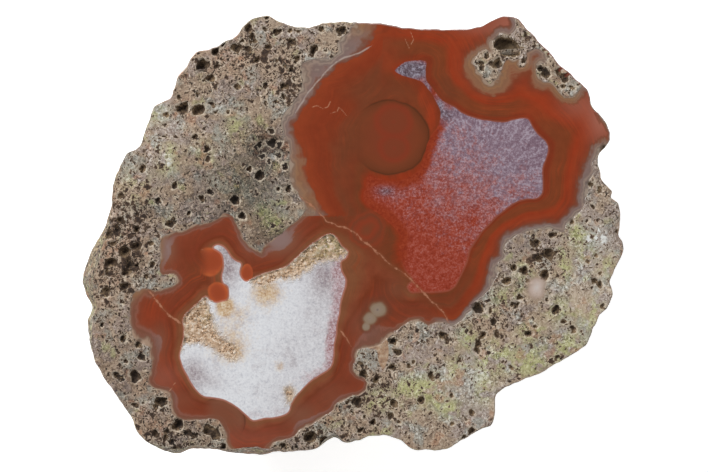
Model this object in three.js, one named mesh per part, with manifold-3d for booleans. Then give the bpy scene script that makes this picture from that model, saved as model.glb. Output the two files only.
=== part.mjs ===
// Half of a banded agate nodule, sawn through and polished, still in its lump of pitted lava.
// Millimetres, +Z up. The stone lies on its rough back, with the polished face level on top.
// The origin is under the middle of the face, at the height that the stone rests on.

import * as THREE from 'three';
import { mergeVertices } from 'three/addons/utils/BufferGeometryUtils.js';
import Module from 'manifold-3d';

const wasm = await Module();
wasm.setup();

// Driving dimensions.
const FACE_HEIGHT = 38;          // from the resting surface to the polished face
const REST_DEPTH = 1.5;          // how much of the rounded back is worn off flat where it rests
const SIDE_COLUMNS = 104;        // facets round the stone
const SIDE_ROWS = 14;            // rings of facets from the rim down to the middle of the back
const EDGE_INSET = 0.35;         // the arris of the cut face stands this far inside the widest outline
const EDGE_DROP = 1.2;           // and this far above it
const BACK_FULLNESS = 0.58;      // 1 is an elliptical back, and smaller is squarer
const BACK_HALF_WIDTH = 49;      // the plain oval that the outline blends into on the way down
const BACK_HALF_DEPTH = 41;

// The widest outline of the stone, seen from above, anticlockwise from the right.
const OUTLINE = [
  [51.3, 0.3], [51.6, 3.9], [50.9, 6.4], [49.6, 7.5], [49.9, 8.6], [48.6, 10.0], [47.6, 12.4], [47.3, 15.5],
  [48.8, 17.3], [49.7, 19.3], [48.3, 22.5], [46.4, 24.6], [45.4, 27.6], [43.5, 29.7], [40.3, 32.6],
  [37.8, 35.4], [35.8, 37.5], [34.0, 39.4], [32.1, 41.7], [29.8, 42.2], [26.8, 41.2], [24.5, 40.1],
  [20.3, 39.7], [16.0, 39.6], [10.3, 40.0], [6.5, 40.7], [0.4, 41.1], [-4.8, 40.9], [-9.7, 40.0],
  [-13.5, 41.1], [-16.0, 42.3], [-18.8, 41.6], [-20.5, 40.3], [-22.0, 38.4], [-25.1, 36.8], [-27.6, 35.7],
  [-29.7, 35.2], [-31.7, 32.4], [-33.1, 30.7], [-34.0, 28.2], [-34.6, 26.5], [-37.4, 25.2], [-38.1, 23.7],
  [-39.5, 20.2], [-40.6, 17.2], [-42.9, 15.8], [-44.3, 13.2], [-45.4, 9.8], [-46.0, 5.6], [-47.3, 2.0],
  [-48.8, -0.5], [-50.4, -3.1], [-51.3, -5.2], [-52.1, -8.3], [-50.7, -11.7], [-49.7, -13.6],
  [-50.7, -16.2], [-50.0, -20.8], [-48.8, -24.2], [-46.7, -28.0], [-44.7, -30.7], [-42.2, -34.5],
  [-39.9, -38.7], [-37.1, -40.6], [-33.8, -42.0], [-30.6, -40.9], [-26.0, -40.9], [-22.0, -41.9],
  [-18.1, -42.3], [-14.1, -41.4], [-10.3, -41.1], [-7.2, -40.8], [-3.4, -38.9], [-1.0, -39.4],
  [2.3, -38.7], [4.6, -38.0], [9.3, -39.0], [12.0, -40.8], [14.4, -40.9], [17.7, -40.9], [21.3, -38.9],
  [24.3, -37.1], [27.0, -36.0], [27.5, -33.7], [28.0, -30.1], [32.1, -27.7], [36.1, -26.2], [38.8, -24.6],
  [42.4, -22.5], [45.0, -20.6], [46.2, -18.3], [47.5, -15.3], [49.0, -13.8], [50.1, -11.1], [49.4, -8.6],
  [50.4, -6.4], [51.9, -3.5], [52.1, -1.4],
];

// Where the saw left a broken slope between the face and the outline: bearing and spread in degrees.
const EDGE_CHIPS = [
  { bearing: -173.5, spread: 7.5, inset: 2.9, drop: 6.0 },
  { bearing: -161.5, spread: 3.0, inset: 1.0, drop: 3.0 },
  { bearing: -128.5, spread: 3.4, inset: 1.5, drop: 4.0 },
  { bearing: -114.5, spread: 5.0, inset: 1.9, drop: 5.0 },
  { bearing: -95.5, spread: 2.6, inset: 0.9, drop: 3.0 },
];

// Waves whose sum makes the lumps of the rough sides and back: a wave's counts in radians per
// millimetre along X, Y and Z, its phase in radians and its height. A scoop wave has sharp crests
// between round hollows, as broken lava has.
const LUMP_WAVES = [
  { along: [0.13, 0.05, 0.09], phase: 0.4, height: 1.2 },
  { along: [-0.07, 0.15, 0.06], phase: 2.1, height: 1.1 },
  { along: [0.16, -0.17, 0.21], phase: 4.4, height: 0.8 },
  { along: [0.36, 0.14, -0.22], phase: 1.2, height: 0.4 },
  { along: [-0.19, 0.38, 0.27], phase: 5.3, height: 0.4 },
  { along: [0.07, 0.09, 0.46], phase: 0.2, height: 0.45 },
];
const SCOOP_WAVES = [
  { along: [0.11, 0.07, -0.12], phase: 0.9, height: 1.0 },
  { along: [-0.09, 0.12, 0.14], phase: 2.8, height: 0.9 },
  { along: [0.22, -0.16, 0.19], phase: 1.7, height: 0.6 },
  { along: [-0.25, -0.21, 0.24], phase: 0.3, height: 0.5 },
  { along: [0.06, -0.05, 0.27], phase: 1.1, height: 0.7 },
];

// Broken facets of the rock: each is a plane that nothing reaches past. Bearing and slope in degrees,
// where slope 0 faces sideways and 90 faces straight down, and reach from the middle of the face.
const BROKEN_FACETS = [
  { bearing: 8, slope: 42, reach: 45.5 },
  { bearing: 62, slope: 24, reach: 43.5 },
  { bearing: 104, slope: 50, reach: 42.0 },
  { bearing: 158, slope: 30, reach: 45.5 },
  { bearing: 204, slope: 49, reach: 46.0 },
  { bearing: 252, slope: 22, reach: 41.5 },
  { bearing: 300, slope: 46, reach: 42.5 },
  { bearing: 335, slope: 28, reach: 44.0 },
];

// Vesicles of the lava that the saw cut open: place on the face, radius and depth.
const FACE_PITS = [
  { at: [-28.9, 24.2], radius: 1.2, depth: 1.3 }, { at: [-31.9, 24.4], radius: 1.3, depth: 1.2 },
  { at: [-28.1, 32.4], radius: 1.3, depth: 1.2 }, { at: [-25.7, 35.1], radius: 0.95, depth: 1.0 },
  { at: [-26.4, 30.1], radius: 0.85, depth: 0.9 }, { at: [-21.7, 35.6], radius: 0.95, depth: 1.0 },
  { at: [-19.6, 35.8], radius: 0.7, depth: 0.8 }, { at: [-18.6, 38.3], radius: 0.7, depth: 0.8 },
  { at: [-13.9, 39.0], radius: 0.75, depth: 0.8 }, { at: [-7.0, 35.6], radius: 0.95, depth: 1.0 },
  { at: [-1.9, 39.0], radius: 0.85, depth: 1.1 }, { at: [-10.3, 33.7], radius: 0.7, depth: 0.8 },
  { at: [-15.8, 36.2], radius: 0.7, depth: 0.7 }, { at: [-18.1, 33.5], radius: 0.75, depth: 0.8 },
  { at: [-27.2, 16.6], radius: 0.7, depth: 0.8 }, { at: [-15.2, 16.4], radius: 2.6, depth: 1.2 },
  { at: [-17.5, 11.5], radius: 0.95, depth: 1.0 }, { at: [-22.2, 6.9], radius: 0.95, depth: 1.0 },
  { at: [-11.8, 9.0], radius: 0.75, depth: 0.8 }, { at: [-28.3, 7.1], radius: 0.75, depth: 0.8 },
  { at: [-34.6, 2.4], radius: 0.85, depth: 1.0 }, { at: [-20.7, 3.9], radius: 0.7, depth: 0.8 },
  { at: [-39.7, 13.0], radius: 0.75, depth: 0.8 }, { at: [-43.7, 3.1], radius: 0.75, depth: 0.8 },
  { at: [-44.9, 0.6], radius: 0.95, depth: 1.1 }, { at: [-40.9, -1.8], radius: 0.95, depth: 1.1 },
  { at: [-42.9, -3.4], radius: 1.3, depth: 1.2 }, { at: [-45.4, -5.0], radius: 1.05, depth: 1.1 },
  { at: [-42.2, -6.6], radius: 0.95, depth: 1.0 }, { at: [-42.8, -9.4], radius: 0.85, depth: 1.1 },
  { at: [-46.6, -10.5], radius: 0.85, depth: 0.9 }, { at: [-38.0, -5.2], radius: 0.7, depth: 0.8 },
  { at: [-43.3, -19.3], radius: 0.75, depth: 0.8 }, { at: [-41.0, -26.5], radius: 1.15, depth: 1.2 },
  { at: [-44.5, -26.5], radius: 0.75, depth: 0.8 }, { at: [-36.1, -31.4], radius: 1.15, depth: 1.1 },
  { at: [-32.9, -35.8], radius: 1.15, depth: 1.1 }, { at: [-27.0, -37.0], radius: 1.05, depth: 1.1 },
  { at: [-37.2, -37.3], radius: 0.75, depth: 0.8 }, { at: [-30.0, -37.9], radius: 0.7, depth: 0.8 },
  { at: [-7.8, -38.1], radius: 1.3, depth: 1.5 }, { at: [-12.9, -39.6], radius: 0.75, depth: 0.8 },
  { at: [2.5, -26.1], radius: 0.85, depth: 1.1 }, { at: [4.8, -27.3], radius: 0.75, depth: 0.8 },
  { at: [4.2, -35.0], radius: 0.75, depth: 0.8 }, { at: [1.1, -31.6], radius: 0.95, depth: 0.9 },
  { at: [13.5, -31.1], radius: 0.75, depth: 0.8 }, { at: [8.0, -24.8], radius: 0.75, depth: 0.8 },
  { at: [8.9, -21.9], radius: 0.75, depth: 0.8 }, { at: [15.2, -26.3], radius: 0.75, depth: 0.8 },
  { at: [23.9, -21.6], radius: 0.75, depth: 0.8 }, { at: [22.0, -36.8], radius: 0.75, depth: 0.8 },
  { at: [29.8, -8.6], radius: 0.85, depth: 1.1 }, { at: [30.8, -6.2], radius: 0.75, depth: 0.8 },
  { at: [32.9, -6.7], radius: 1.3, depth: 0.7 }, { at: [24.1, -13.6], radius: 1.05, depth: 1.2 },
  { at: [27.2, -16.4], radius: 0.7, depth: 0.8 }, { at: [25.1, -18.9], radius: 0.75, depth: 0.8 },
  { at: [31.4, -12.3], radius: 0.9, depth: 0.8 }, { at: [39.1, -14.0], radius: 1.15, depth: 0.7 },
  { at: [37.1, -7.3], radius: 0.95, depth: 0.9 }, { at: [37.6, -3.3], radius: 1.05, depth: 1.1 },
  { at: [35.0, -1.2], radius: 0.75, depth: 0.8 }, { at: [46.6, -9.0], radius: 0.7, depth: 0.8 },
  { at: [33.6, -18.3], radius: 0.75, depth: 0.8 }, { at: [39.3, -22.6], radius: 0.7, depth: 0.7 },
  { at: [38.4, 0.3], radius: 0.7, depth: 0.8 }, { at: [29.6, 36.0], radius: 2.1, depth: 1.7 },
  { at: [27.6, 32.8], radius: 1.05, depth: 1.1 }, { at: [24.7, 32.4], radius: 0.75, depth: 1.0 },
  { at: [36.5, 31.1], radius: 1.15, depth: 1.2 }, { at: [40.0, 30.2], radius: 1.25, depth: 0.9 },
];

// Vesicles in the rough sides and back.
const BACK_PIT_COUNT = 30;
const BACK_PIT_RADII = [1.2, 1.9, 1.0, 2.6, 1.5];

// Hollows in the left quartz centre that the saw only grazed, each an outline on the face.
const HOLLOW_DEPTH = 1.3;
const HOLLOWS = [
  { name: 'upper strip', outline: [[-19.6, -8.6], [-17.2, -9.9], [-11.4, -8.0], [-6.3, -4.9], [-2.6, -4.1],
    [-1.3, -2.5], [-3.0, -1.5], [-6.3, -2.1], [-9.1, -4.2], [-12.4, -5.9], [-16.2, -6.7]] },
  { name: 'left patch', outline: [[-30.6, -17.5], [-27.7, -14.2], [-23.9, -13.6], [-22.1, -16.2],
    [-24.0, -18.6], [-24.2, -22.2], [-27.6, -25.4], [-31.0, -23.4], [-31.3, -20.0]] },
  { name: 'foot patch', outline: [[-12.4, -29.0], [-10.4, -29.3], [-10.6, -31.2], [-12.2, -31.6]] },
];

// Quartz crystals on the floors of the hollows: six-sided points, leaning a little, wider than tall.
const CRYSTAL_SPACING = 1.4;
const CRYSTAL_RADIUS = 0.72;
const CRYSTAL_HEIGHT = 1.05;
const CRYSTAL_SIDES = 6;

const GOLDEN_TURN = 0.61803;
const DEGREE = Math.PI / 180;

const stoneMaterial = new THREE.MeshStandardMaterial({
  name: 'agate_in_lava', color: 0x9a5a44, roughness: 0.6, metalness: 0,
});

/** A wave's sine at a point. */
function waveAt(wave, point) {
  const [kx, ky, kz] = wave.along;
  return Math.sin(kx * point.x + ky * point.y + kz * point.z + wave.phase);
}

/** How far the lumps stand out at a point, in millimetres: round lumps, less scoops with sharp crests. */
function lumpHeight(point) {
  const lumps = LUMP_WAVES.reduce((sum, wave) => sum + wave.height * waveAt(wave, point), 0);
  const scoops = SCOOP_WAVES.reduce(
    (sum, wave) => sum + wave.height * (1 - 2 * Math.abs(waveAt(wave, point))), 0);
  return lumps + scoops;
}

/** The radius of the plain oval at a bearing in radians. */
function ovalRadius(bearing) {
  return 1 / Math.hypot(Math.cos(bearing) / BACK_HALF_WIDTH, Math.sin(bearing) / BACK_HALF_DEPTH);
}

/** A bump of height 1 at no distance, falling off to nothing over about twice the spread. */
function bump(distance, spread) {
  return Math.exp(-((distance / spread) ** 2));
}

/** How far inside the outline the cut face ends, and how far below the face the outline lies. */
function edgeShape(bearing) {
  let inset = EDGE_INSET;
  let drop = EDGE_DROP;
  for (const chip of EDGE_CHIPS) {
    const away = Math.abs(((bearing - chip.bearing + 540) % 360) - 180);
    inset += chip.inset * bump(away, chip.spread);
    drop += chip.drop * bump(away, chip.spread);
  }
  return { inset, drop };
}

/** Pulls a point back towards the planes of the broken facets, by a share of its excess. */
function breakOff(point, share) {
  for (const facet of BROKEN_FACETS) {
    const bearing = facet.bearing * DEGREE;
    const slope = facet.slope * DEGREE;
    const normal = new THREE.Vector3(
      Math.cos(bearing) * Math.cos(slope), Math.sin(bearing) * Math.cos(slope), -Math.sin(slope));
    const fromFace = point.clone().sub(new THREE.Vector3(0, 0, FACE_HEIGHT));
    const excess = normal.dot(fromFace) - facet.reach;
    if (excess > 0) point.addScaledVector(normal, -excess * share);
  }
  return point;
}

/**
 * A point of the rough outside. The rim point is on the outline, and the fraction goes from 0 at the
 * outline to 1 under the middle. Seen from above the section blends from the outline to the plain oval,
 * seen from the side it is a superellipse, and it is broken flat in places, raised into lumps and worn
 * level where it rests.
 */
function roughPoint(rim, fraction) {
  const bearing = Math.atan2(rim.y, rim.x);
  const turn = fraction * Math.PI / 2;
  const blend = THREE.MathUtils.smoothstep(fraction, 0, 0.6);
  const radius = THREE.MathUtils.lerp(Math.hypot(rim.x, rim.y), ovalRadius(bearing), blend);
  const fullness = BACK_FULLNESS + 0.1 * Math.sin(2 * bearing + 0.7) + 0.08 * Math.sin(3 * bearing + 2);
  const across = radius * Math.cos(turn) ** fullness;
  const top = FACE_HEIGHT - edgeShape(bearing / DEGREE).drop;
  const point = new THREE.Vector3(
    Math.cos(bearing) * across, Math.sin(bearing) * across, top - (top + REST_DEPTH) * Math.sin(turn));
  breakOff(point, THREE.MathUtils.smoothstep(fraction, 0, 0.3));
  const outward = new THREE.Vector3(
    Math.cos(bearing) * Math.cos(turn), Math.sin(bearing) * Math.cos(turn), -Math.sin(turn));
  point.addScaledVector(outward, lumpHeight(point) * Math.sin(turn) ** 0.6);
  point.z = Math.max(point.z, 0);
  return point;
}

/** The uncut stone: level face, short slope to the outline, then rings down to the middle of the back. */
function stoneGeometry() {
  const curve = new THREE.CatmullRomCurve3(
    OUTLINE.map(([x, y]) => new THREE.Vector3(x, y, 0)), true, 'centripetal');
  const rims = curve.getSpacedPoints(SIDE_COLUMNS).slice(0, SIDE_COLUMNS);
  const rings = [rims.map((rim) => {
    const { inset } = edgeShape(Math.atan2(rim.y, rim.x) / DEGREE);
    const scale = 1 - inset / rim.length();
    return new THREE.Vector3(rim.x * scale, rim.y * scale, FACE_HEIGHT);
  })];
  for (let row = 0; row < SIDE_ROWS; row += 1) {
    rings.push(rims.map((rim) => roughPoint(rim, row / SIDE_ROWS)));
  }
  const points = [new THREE.Vector3(0, 0, FACE_HEIGHT), ...rings.flat(), new THREE.Vector3(0, 0, 0)];
  const faceCentre = 0;
  const backCentre = points.length - 1;
  const index = [];
  const at = (ring, column) => 1 + ring * SIDE_COLUMNS + (column % SIDE_COLUMNS);
  for (let column = 0; column < SIDE_COLUMNS; column += 1) {
    index.push(faceCentre, at(0, column), at(0, column + 1));
    for (let ring = 0; ring < rings.length - 1; ring += 1) {
      index.push(at(ring, column), at(ring + 1, column), at(ring + 1, column + 1));
      index.push(at(ring, column), at(ring + 1, column + 1), at(ring, column + 1));
    }
    index.push(at(rings.length - 1, column), backCentre, at(rings.length - 1, column + 1));
  }
  const geometry = new THREE.BufferGeometry();
  geometry.setAttribute('position', new THREE.Float32BufferAttribute(points.flatMap((p) => p.toArray()), 3));
  geometry.setIndex(index);
  return geometry;
}

/** A closed three.js geometry as a solid that can be joined and cut. */
function solidOf(source) {
  const geometry = source.clone();
  geometry.deleteAttribute('normal');
  geometry.deleteAttribute('uv');
  const merged = mergeVertices(geometry, 1e-4);
  return new wasm.Manifold(new wasm.Mesh({
    numProp: 3,
    vertProperties: new Float32Array(merged.attributes.position.array),
    triVerts: new Uint32Array(merged.index.array),
  }));
}

/** The triangles of a solid as a three.js geometry. */
function geometryOf(solid) {
  const mesh = solid.getMesh();
  const geometry = new THREE.BufferGeometry();
  geometry.setAttribute('position', new THREE.Float32BufferAttribute(mesh.vertProperties, 3));
  geometry.setIndex(Array.from(mesh.triVerts));
  return geometry;
}

/** A gas bubble: a faceted ball, stretched to the given radius and depth and turned about Z. */
function bubble(radius, depth, centre, turn) {
  const ball = new THREE.IcosahedronGeometry(1, radius > 1 ? 1 : 0);
  ball.scale(radius * 1.12, radius * 0.92, depth);
  ball.rotateZ(turn);
  ball.translate(centre.x, centre.y, centre.z);
  return solidOf(ball);
}

/** All the bubbles that open on the face, sides and back. */
function bubbles() {
  const solids = FACE_PITS.map((pit, i) => bubble(
    pit.radius, pit.depth, new THREE.Vector3(...pit.at, FACE_HEIGHT), i * 2.4));
  const curve = new THREE.CatmullRomCurve3(
    OUTLINE.map(([x, y]) => new THREE.Vector3(x, y, 0)), true, 'centripetal');
  for (let i = 0; i < BACK_PIT_COUNT; i += 1) {
    const rim = curve.getPointAt((i * GOLDEN_TURN) % 1);
    const fraction = 0.16 + 0.7 * ((i * 0.4142) % 1);
    const radius = BACK_PIT_RADII[i % BACK_PIT_RADII.length];
    solids.push(bubble(radius, radius * 0.9, roughPoint(rim, fraction), i * 1.7));
  }
  return solids;
}

/** The block that cuts a hollow into the face. */
function hollowCutter(hollow) {
  const shape = new THREE.Shape(hollow.outline.map(([x, y]) => new THREE.Vector2(x, y)));
  const block = new THREE.ExtrudeGeometry(shape, { depth: HOLLOW_DEPTH * 2, bevelEnabled: false });
  block.translate(0, 0, FACE_HEIGHT - HOLLOW_DEPTH);
  return solidOf(block);
}

/** Whether a point lies inside an outline, by counting the edges to its right. */
function isInside(x, y, outline) {
  let inside = false;
  outline.forEach(([ax, ay], i) => {
    const [bx, by] = outline[(i + 1) % outline.length];
    const crosses = (ay > y) !== (by > y);
    if (crosses && x < ax + ((bx - ax) * (y - ay)) / (by - ay)) inside = !inside;
  });
  return inside;
}

/** A quartz point: a six-sided pyramid whose foot is sunk in the floor of the hollow. */
function crystal(x, y, seed) {
  const vary = 0.5 + 0.5 * Math.sin(seed * 12.9);
  const height = CRYSTAL_HEIGHT * (0.7 + 0.3 * vary);
  const sunk = 0.5;
  const point = new THREE.ConeGeometry(
    CRYSTAL_RADIUS * (0.85 + 0.4 * vary), height + sunk, CRYSTAL_SIDES);
  point.rotateX(Math.PI / 2);
  point.rotateZ(seed);
  point.rotateX(0.35 * Math.sin(seed * 3.1));
  point.rotateY(0.35 * Math.cos(seed * 4.7));
  point.translate(x, y, FACE_HEIGHT - HOLLOW_DEPTH - sunk + (height + sunk) / 2);
  return solidOf(point);
}

/** The crystals on the floor of one hollow, on a staggered grid. */
function crystals(hollow) {
  const xs = hollow.outline.map(([x]) => x);
  const ys = hollow.outline.map(([, y]) => y);
  const solids = [];
  let row = 0;
  for (let y = Math.min(...ys); y < Math.max(...ys); y += CRYSTAL_SPACING * 0.87) {
    for (let x = Math.min(...xs) + (row % 2) * CRYSTAL_SPACING / 2; x < Math.max(...xs); x += CRYSTAL_SPACING) {
      if (isInside(x, y, hollow.outline)) solids.push(crystal(x, y, x * 5.1 + y * 7.7));
    }
    row += 1;
  }
  return solids;
}

/** The finished stone. */
function agateNoduleHalf() {
  let solid = solidOf(stoneGeometry());
  for (const cutter of [...HOLLOWS.map(hollowCutter), ...bubbles()]) solid = solid.subtract(cutter);
  for (const point of HOLLOWS.flatMap(crystals)) solid = solid.add(point);
  const mesh = new THREE.Mesh(geometryOf(solid), stoneMaterial);
  mesh.name = 'agate_nodule_half';
  return mesh;
}

const group = new THREE.Group();
group.add(agateNoduleHalf());

export default group;
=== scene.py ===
# %% [markdown]
# # Half of a banded agate nodule
#
# The stone is a lump of old lava full of gas bubbles. Two hollows in the lava filled from the wall inwards,
# first with thin coats of red and brown chalcedony, then with coarse quartz, white in one and lilac in the
# other. A saw went through all of it and the cut was polished, so everything on the face is flush, except
# for bubbles and three rough patches of quartz that the saw only grazed.
#
# The lesson builds it in two surfaces, the sawn face and the rough back, and gives both one shared set of
# stone patterns.

# %% Load the solid frame
import itertools
import math

import bpy
import numpy as np
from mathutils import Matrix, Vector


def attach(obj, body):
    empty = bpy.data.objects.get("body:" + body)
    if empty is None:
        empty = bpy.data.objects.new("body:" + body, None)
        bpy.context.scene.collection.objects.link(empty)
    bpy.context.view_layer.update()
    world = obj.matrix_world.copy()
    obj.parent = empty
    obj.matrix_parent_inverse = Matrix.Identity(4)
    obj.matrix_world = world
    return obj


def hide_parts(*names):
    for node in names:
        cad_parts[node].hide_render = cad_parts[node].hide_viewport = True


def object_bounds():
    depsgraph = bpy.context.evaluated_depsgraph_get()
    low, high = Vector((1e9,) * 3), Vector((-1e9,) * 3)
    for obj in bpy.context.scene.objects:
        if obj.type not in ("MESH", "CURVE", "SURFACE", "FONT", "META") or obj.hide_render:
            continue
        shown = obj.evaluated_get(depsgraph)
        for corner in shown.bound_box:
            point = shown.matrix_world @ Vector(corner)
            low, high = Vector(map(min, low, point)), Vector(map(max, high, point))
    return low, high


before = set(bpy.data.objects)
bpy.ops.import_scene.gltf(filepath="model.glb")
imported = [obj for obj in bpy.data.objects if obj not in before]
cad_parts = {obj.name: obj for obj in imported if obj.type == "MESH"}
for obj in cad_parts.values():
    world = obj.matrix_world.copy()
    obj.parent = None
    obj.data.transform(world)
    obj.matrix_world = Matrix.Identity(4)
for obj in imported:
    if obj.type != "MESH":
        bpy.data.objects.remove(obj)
solid_low, solid_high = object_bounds()
NODE = "agate_nodule_half"
print("solid box", tuple(solid_low), tuple(solid_high))

# %% [markdown]
# ## Units and the height of the face
#
# All the shapes below are worked out in millimetres, which suit a stone of this size, and turned into
# metres when a mesh is made. The height of the face comes from the solid.

# %% Units
MM = 0.001
FACE_HEIGHT = solid_high.z / MM
print("face height in mm", round(FACE_HEIGHT, 2))

# %% [markdown]
# ## The outline
#
# The widest outline of the stone is a ring of points with a smooth closed curve through them. A closed
# curve through points can be a spline object or a formula. The formula is used here, because the same
# curve is needed as numbers: the edge of the face and the top of the rough back both start on it.

# %% Points of the widest outline, anticlockwise from the right
OUTLINE = np.array([
    (51.3, 0.3), (51.6, 3.9), (50.9, 6.4), (49.6, 7.5), (49.9, 8.6), (48.6, 10), (47.6, 12.4),
    (47.3, 15.5), (48.8, 17.3), (49.7, 19.3), (48.3, 22.5), (46.4, 24.6), (45.4, 27.6), (43.5, 29.7),
    (40.3, 32.6), (37.8, 35.4), (35.8, 37.5), (34, 39.4), (32.1, 41.7), (29.8, 42.2), (26.8, 41.2),
    (24.5, 40.1), (20.3, 39.7), (16, 39.6), (10.3, 40), (6.5, 40.7), (0.4, 41.1), (-4.8, 40.9),
    (-9.7, 40), (-13.5, 41.1), (-16, 42.3), (-18.8, 41.6), (-20.5, 40.3), (-22, 38.4),
    (-25.1, 36.8), (-27.6, 35.7), (-29.7, 35.2), (-31.7, 32.4), (-33.1, 30.7), (-34, 28.2),
    (-34.6, 26.5), (-37.4, 25.2), (-38.1, 23.7), (-39.5, 20.2), (-40.6, 17.2), (-42.9, 15.8),
    (-44.3, 13.2), (-45.4, 9.8), (-46, 5.6), (-47.3, 2), (-48.8, -0.5), (-50.4, -3.1),
    (-51.3, -5.2), (-52.1, -8.3), (-50.7, -11.7), (-49.7, -13.6), (-50.7, -16.2), (-50, -20.8),
    (-48.8, -24.2), (-46.7, -28), (-44.7, -30.7), (-42.2, -34.5), (-39.9, -38.7), (-37.1, -40.6),
    (-33.8, -42), (-30.6, -40.9), (-26, -40.9), (-22, -41.9), (-18.1, -42.3), (-14.1, -41.4),
    (-10.3, -41.1), (-7.2, -40.8), (-3.4, -38.9), (-1, -39.4), (2.3, -38.7), (4.6, -38),
    (9.3, -39), (12, -40.8), (14.4, -40.9), (17.7, -40.9), (21.3, -38.9), (24.3, -37.1),
    (27, -36), (27.5, -33.7), (28, -30.1), (32.1, -27.7), (36.1, -26.2), (38.8, -24.6),
    (42.4, -22.5), (45, -20.6), (46.2, -18.3), (47.5, -15.3), (49, -13.8), (50.1, -11.1),
    (49.4, -8.6), (50.4, -6.4), (51.9, -3.5), (52.1, -1.4)])


def closed_curve(points, steps):
    """A smooth closed curve through the points, with the given number of steps from each to the next.

    Each span is a cubic that leaves and reaches its points along slopes worked out from the points before
    and after, timed by the square root of the distances (a centripetal Catmull-Rom curve).
    """
    before, start = np.roll(points, 1, axis=0), points
    end, after = np.roll(points, -1, axis=0), np.roll(points, -2, axis=0)
    time_before = np.sqrt(np.linalg.norm(start - before, axis=1))[:, None]
    time = np.sqrt(np.linalg.norm(end - start, axis=1))[:, None]
    time_after = np.sqrt(np.linalg.norm(after - end, axis=1))[:, None]
    chord = (end - start) / time
    slope_out = ((start - before) / time_before - (end - before) / (time_before + time) + chord) * time
    slope_in = (chord - (after - start) / (time + time_after) + (after - end) / time_after) * time
    share = (np.arange(steps) / steps)[None, :, None]
    a, b, c, d = (part[:, None, :] for part in (start, end, slope_out, slope_in))
    curve = (a * (2 * share**3 - 3 * share**2 + 1) + b * (3 * share**2 - 2 * share**3)
             + c * (share**3 - 2 * share**2 + share) + d * (share**3 - share**2))
    return curve.reshape(-1, 2)


RIM = closed_curve(OUTLINE, 24)
RIM_BEARING = np.arctan2(RIM[:, 1], RIM[:, 0])
RIM_ORDER = np.argsort(RIM_BEARING)


def rim_radius(bearing):
    """Distance in millimetres from the middle to the widest outline, at bearings in radians."""
    reach = np.linalg.norm(RIM, axis=1)
    return np.interp(bearing, RIM_BEARING[RIM_ORDER], reach[RIM_ORDER], period=2 * math.pi)


print("rim points", len(RIM), "bearings rise evenly:", bool(np.all(np.diff(np.unwrap(RIM_BEARING)) > 0)))

# %% [markdown]
# ## Repeatable randomness
#
# Lava is random at every size, but the script has to give the same stone each time. So nothing is drawn
# from a random generator while shaping: each small cell of space gets a number mixed from its own place,
# and smooth noise and gas bubbles are built on those numbers.


# %% Random numbers, noise and bubbles that depend only on place
def cell_random(cells, salt):
    """A fixed number from 0 to 1 for each whole-number cell, mixed from its three counts and the salt."""
    counts = cells.astype(np.int64).astype(np.uint32)
    mixed = counts[..., 0] * np.uint32(0x8DA6B343) ^ counts[..., 1] * np.uint32(0xD8163841)
    mixed = mixed ^ counts[..., 2] * np.uint32(0xCB1AB31F) ^ np.uint32(salt * 0x9E3779B1 % 2**32)
    for shift, factor in ((15, 0x2C1B3C6D), (12, 0x297A2D39), (15, 0x1B56C4E9)):
        mixed = (mixed ^ (mixed >> np.uint32(shift))) * np.uint32(factor)
    return (mixed ^ (mixed >> np.uint32(14))) / 2.0**32


def smooth_noise(points, size, salt):
    """Random heights from -1 to 1 at the corners of cells of the given size, blended with an eased cubic."""
    place = points / size
    cell = np.floor(place)
    share = place - cell
    share = share * share * (3 - 2 * share)
    total = np.zeros(points.shape[:-1])
    for corner in itertools.product((0, 1), repeat=3):
        weight = np.prod(np.where(np.array(corner) == 1, share, 1 - share), axis=-1)
        total += weight * cell_random(cell + corner, salt)
    return 2 * total - 1


def layered_noise(points, size, layers, salt):
    """Noise of the given size, plus layers of half the size and half the height each time."""
    return sum(smooth_noise(points, size / 2**k, salt + k) / 2**k for k in range(layers))


def bubble_depth(points, cell, smallest, largest, share, salt):
    """How deep a surface point lies in gas bubbles, in millimetres.

    Each cell of space may hold one ball at a random place with a random radius. Where the surface passes
    through a ball, the depth is the square root of radius squared less distance squared, the largest over
    the neighbouring cells.
    """
    home = np.floor(points / cell)
    deepest = np.zeros(len(points))
    for step in itertools.product((-1, 0, 1), repeat=3):
        ball = home + step
        centre = np.stack([cell_random(ball, salt + k) for k in range(3)], axis=-1)
        centre = (ball + 0.1 + 0.8 * centre) * cell
        radius = smallest + (largest - smallest) * cell_random(ball, salt + 3) ** 2
        radius = radius * (cell_random(ball, salt + 4) < share)
        inside = radius**2 - np.sum((points - centre) ** 2, axis=-1)
        deepest = np.maximum(deepest, np.sqrt(np.maximum(inside, 0)))
    return deepest


def wobble(points, size, height, salt):
    """The points moved by noise in each direction, so that what is drawn on them isn't perfectly round."""
    shift = np.stack([smooth_noise(points, size, salt + k) for k in range(3)], axis=-1)
    return points + height * shift


def ease(value, low, high):
    """0 below low, 1 above high, and an eased cubic between."""
    share = np.clip((value - low) / (high - low), 0, 1)
    return share * share * (3 - 2 * share)


# %% [markdown]
# ## Where the agate and the quartz lie on the face
#
# The two nodules have grown together into one area of agate. Its border, the borders of the quartz in the
# two middles and the patches of lava inside them are closed outlines, as a map has. Curve objects could hold
# them, but plain points can be measured: agate is laid down in coats of even thickness, so its bands are
# lines of even distance from the wall.

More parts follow.
